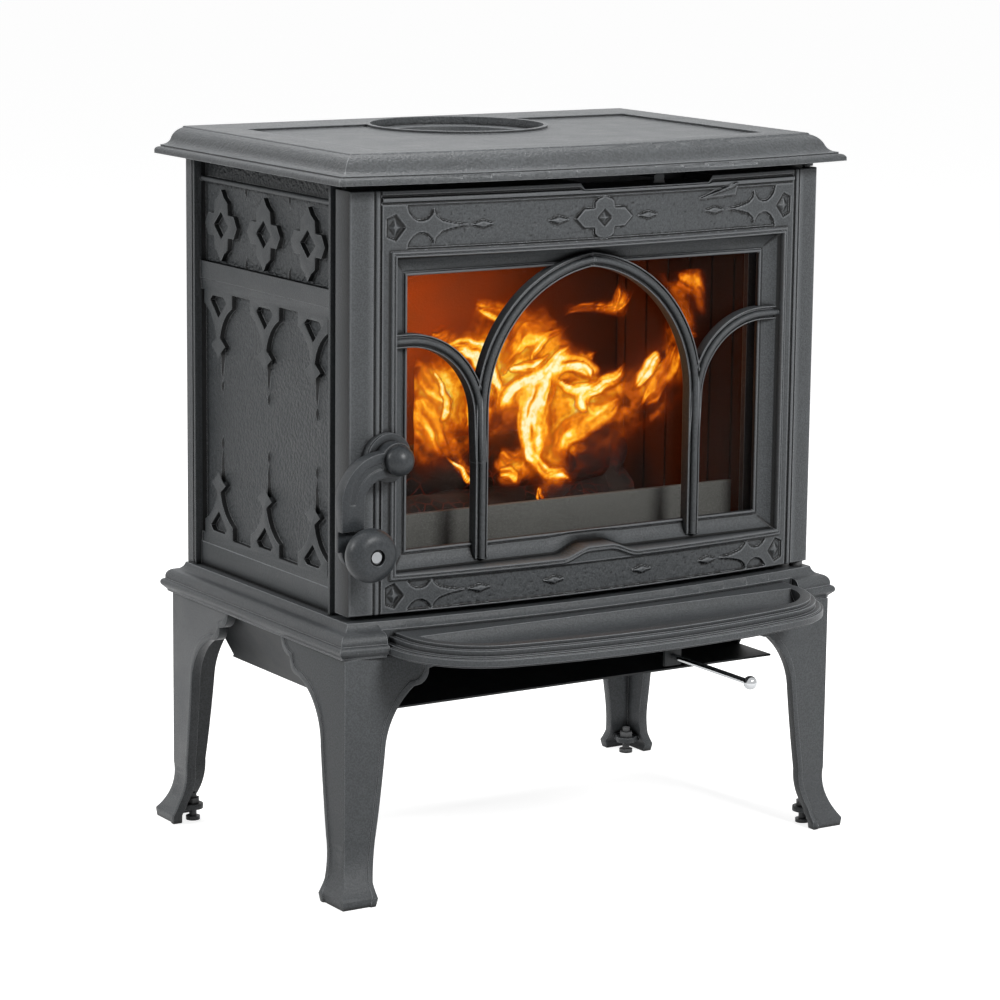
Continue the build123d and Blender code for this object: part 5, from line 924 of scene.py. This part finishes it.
def side_panel(node, side):
    """A side panel with rounded edges, whose slim figures are ridged instead of flat."""
    mesh, form = merged_copy(node)
    low = [v for v in form.verts if abs(abs(v.co.x) - (FIELD_X + FIGURE_LIFT) * MM) < 0.05 * MM]
    bmesh.ops.delete(form, geom=low, context="VERTS")
    made = rounded(node + "_dressed", mesh, form, 0.7)
    form = form_of(made)

    def roof(points, middle, base, flip):
        verts, faces = ridge(points, FIGURE_LIFT)
        placed = [form.verts.new(at(side * (FIELD_X - 0.05 + up), middle + across, base + flip * along))
                  for across, along, up in verts]
        for face in faces:
            ring = [placed[i] for i in face]
            if len({tuple(round(c, 7) for c in v.co) for v in ring}) >= 3:
                form.faces.new(ring)

    reach = ARCADE_TOP - ARCADE_MIDDLE
    taper = [(6.5, reach - 58), (6.0, reach - 60.5)]
    taper += [(6.0 * (1 - t) ** 1.15, reach - 60.5 - 37 * t) for t in np.linspace(0.08, 1, 14)]
    bud = [(3.5 * (1 - abs(t)), 8.0 * t) for t in np.linspace(-1, 1, 9)]
    for n in (-1, 0, 1):
        column = COLUMN_MIDDLE + n * COLUMN_PITCH
        for flip in (1, -1):
            roof(taper, column, ARCADE_MIDDLE, flip)
            roof(bud, column, ARCADE_MIDDLE + flip * 29.5, 1)
    for n in (-0.5, 0.5):
        for foot, rise in SPIKE_FEET:
            roof([(3.5 * (1 - t), abs(rise) * t) for t in np.linspace(0, 1, 6)],
                 QUATRE_MIDDLE + n * QUATRE_PITCH, foot, math.copysign(1, rise))
    piece(node + "_dressed", smooth(own_normals(store(form, made)), 40), side_paint_drawn_in_shade, stands_for=(node,))


door_skin()
door_back()
window_tracery()
side_panel("side_panel_left", -1)
side_panel("side_panel_right", 1)
for node in ("leg_front_left", "leg_front_right", "leg_rear_left", "leg_rear_right"):
    rounded_copy(node, 1.0)
rounded_copy("flue_collar", 0.5)
cast_copy("top_plate", top_casting)
for node in ("base_plate", "ash_lip", "front_frame", "back_plate"):
    cast_copy(node)
cast_copy("log_guard", guard_paint)
rounded_copy("handle_pad", 0.6, handle_paint, "door")
for node, edge in (("handle_arm", 0.9), ("handle_cap", 0.5), ("handle_ferrule", 0.4), ("handle_knob", 0.6)):
    rounded_copy(node, edge, handle_paint, "handle")
flames()
fire_logs()
ember_bed()


# ---- floor, light and camera
FLOOR_HALF = 30.0           # half width of the floor, in metres


def seen_directly(tree):
    """1 for what the camera sees straight, mirrored or through glass, and 0 for light that falls on things."""
    path = tree.nodes.new("ShaderNodeLightPath").outputs
    seen = maths(tree, "ADD", path["Is Camera Ray"], path["Is Glossy Ray"], clamp=True)
    return maths(tree, "ADD", seen, path["Is Transmission Ray"], clamp=True)


def studio_floor():
    """Pale seamless floor that keeps the stove's shadow."""
    made, tree, _ = start("studio_floor")
    lit = add(tree, "ShaderNodeBsdfDiffuse", {"Color": (0.6, 0.6, 0.6, 1.0)})
    glow = add(tree, "ShaderNodeEmission", {"Color": (1, 1, 1, 1), "Strength": 0.86})
    both = add(tree, "ShaderNodeAddShader", {0: lit, 1: glow})
    plain = add(tree, "ShaderNodeBsdfDiffuse", {"Color": (0.4, 0.4, 0.4, 1.0)})
    mixed = add(tree, "ShaderNodeMixShader", {0: seen_directly(tree), 1: plain, 2: both})
    add(tree, "ShaderNodeOutputMaterial", {"Surface": mixed})
    mesh = bpy.data.meshes.new("floor")
    corners = [(x * FLOOR_HALF, y * FLOOR_HALF, 0) for x, y in ((-1, -1), (1, -1), (1, 1), (-1, 1))]
    mesh.from_pydata(corners, [], [(0, 1, 2, 3)])
    mesh.materials.append(made)
    floor = linked("floor", mesh)


def studio_world():
    """Even white surroundings."""
    world = bpy.data.worlds.new("studio")
    world.use_nodes = True
    tree = world.node_tree
    tree.nodes.clear()
    fill = add(tree, "ShaderNodeBackground", {"Color": (1, 1, 1, 1), "Strength": 0.2})
    white = add(tree, "ShaderNodeBackground", {"Color": (1, 1, 1, 1), "Strength": 1.0})
    mixed = add(tree, "ShaderNodeMixShader", {0: seen_directly(tree), 1: fill, 2: white})
    add(tree, "ShaderNodeOutputWorld", {"Surface": mixed})
    bpy.context.scene.world = world


def soft_box(name, place, aim, width, height, watts):
    """A rectangular studio lamp at place, facing aim."""
    lamp = bpy.data.lights.new(name, "AREA")
    lamp.shape, lamp.size, lamp.size_y, lamp.energy = "RECTANGLE", width, height, watts
    made = linked(name, lamp)
    made.location = place
    made.rotation_mode = "QUATERNION"
    made.rotation_quaternion = (Vector(aim) - Vector(place)).to_track_quat("-Z", "Y")
    return made


def studio_camera():
    """Long lens, a little left of the stove's front and a little above its top."""
    place, aim = Vector((-1.9651, -3.0343, 1.0462)), Vector((-0.1050, -0.1058, 0.3829))
    roll = math.radians(0.64)
    back = (place - aim).normalized()
    right = Vector((0, 0, 1)).cross(back).normalized()
    up = back.cross(right)
    across = right * math.cos(roll) + up * math.sin(roll)
    upward = up * math.cos(roll) - right * math.sin(roll)
    lens = bpy.data.cameras.new("camera")
    lens.sensor_width, lens.lens = 36.0, 128.6
    lens.clip_start, lens.clip_end = 0.05, 100
    made = linked("camera", lens)
    made.matrix_world = Matrix.Translation(place) @ Matrix((across, upward, back)).transposed().to_4x4()
    bpy.context.scene.camera = made


studio_floor()
studio_world()
soft_box("key", (0.5, -2.7, 2.3), (0, 0, 0.4), 0.9, 0.7, 86)
soft_box("side", (-2.6, 0.9, 1.9), (0, 0, 0.45), 0.8, 0.8, 34)
soft_box("over", (0.0, 0.9, 2.9), (0, 0, 0.7), 1.4, 1.2, 64)
fire_lamp = soft_box("fire_light", tuple(at(-50, 205, 530)), tuple(at(-30, 330, 470)), 0.24, 0.10, 1.0)
fire_lamp.data.color = srgb("#ff9a4c")[:3]
studio_camera()
bpy.context.scene.view_settings.view_transform = "Standard"
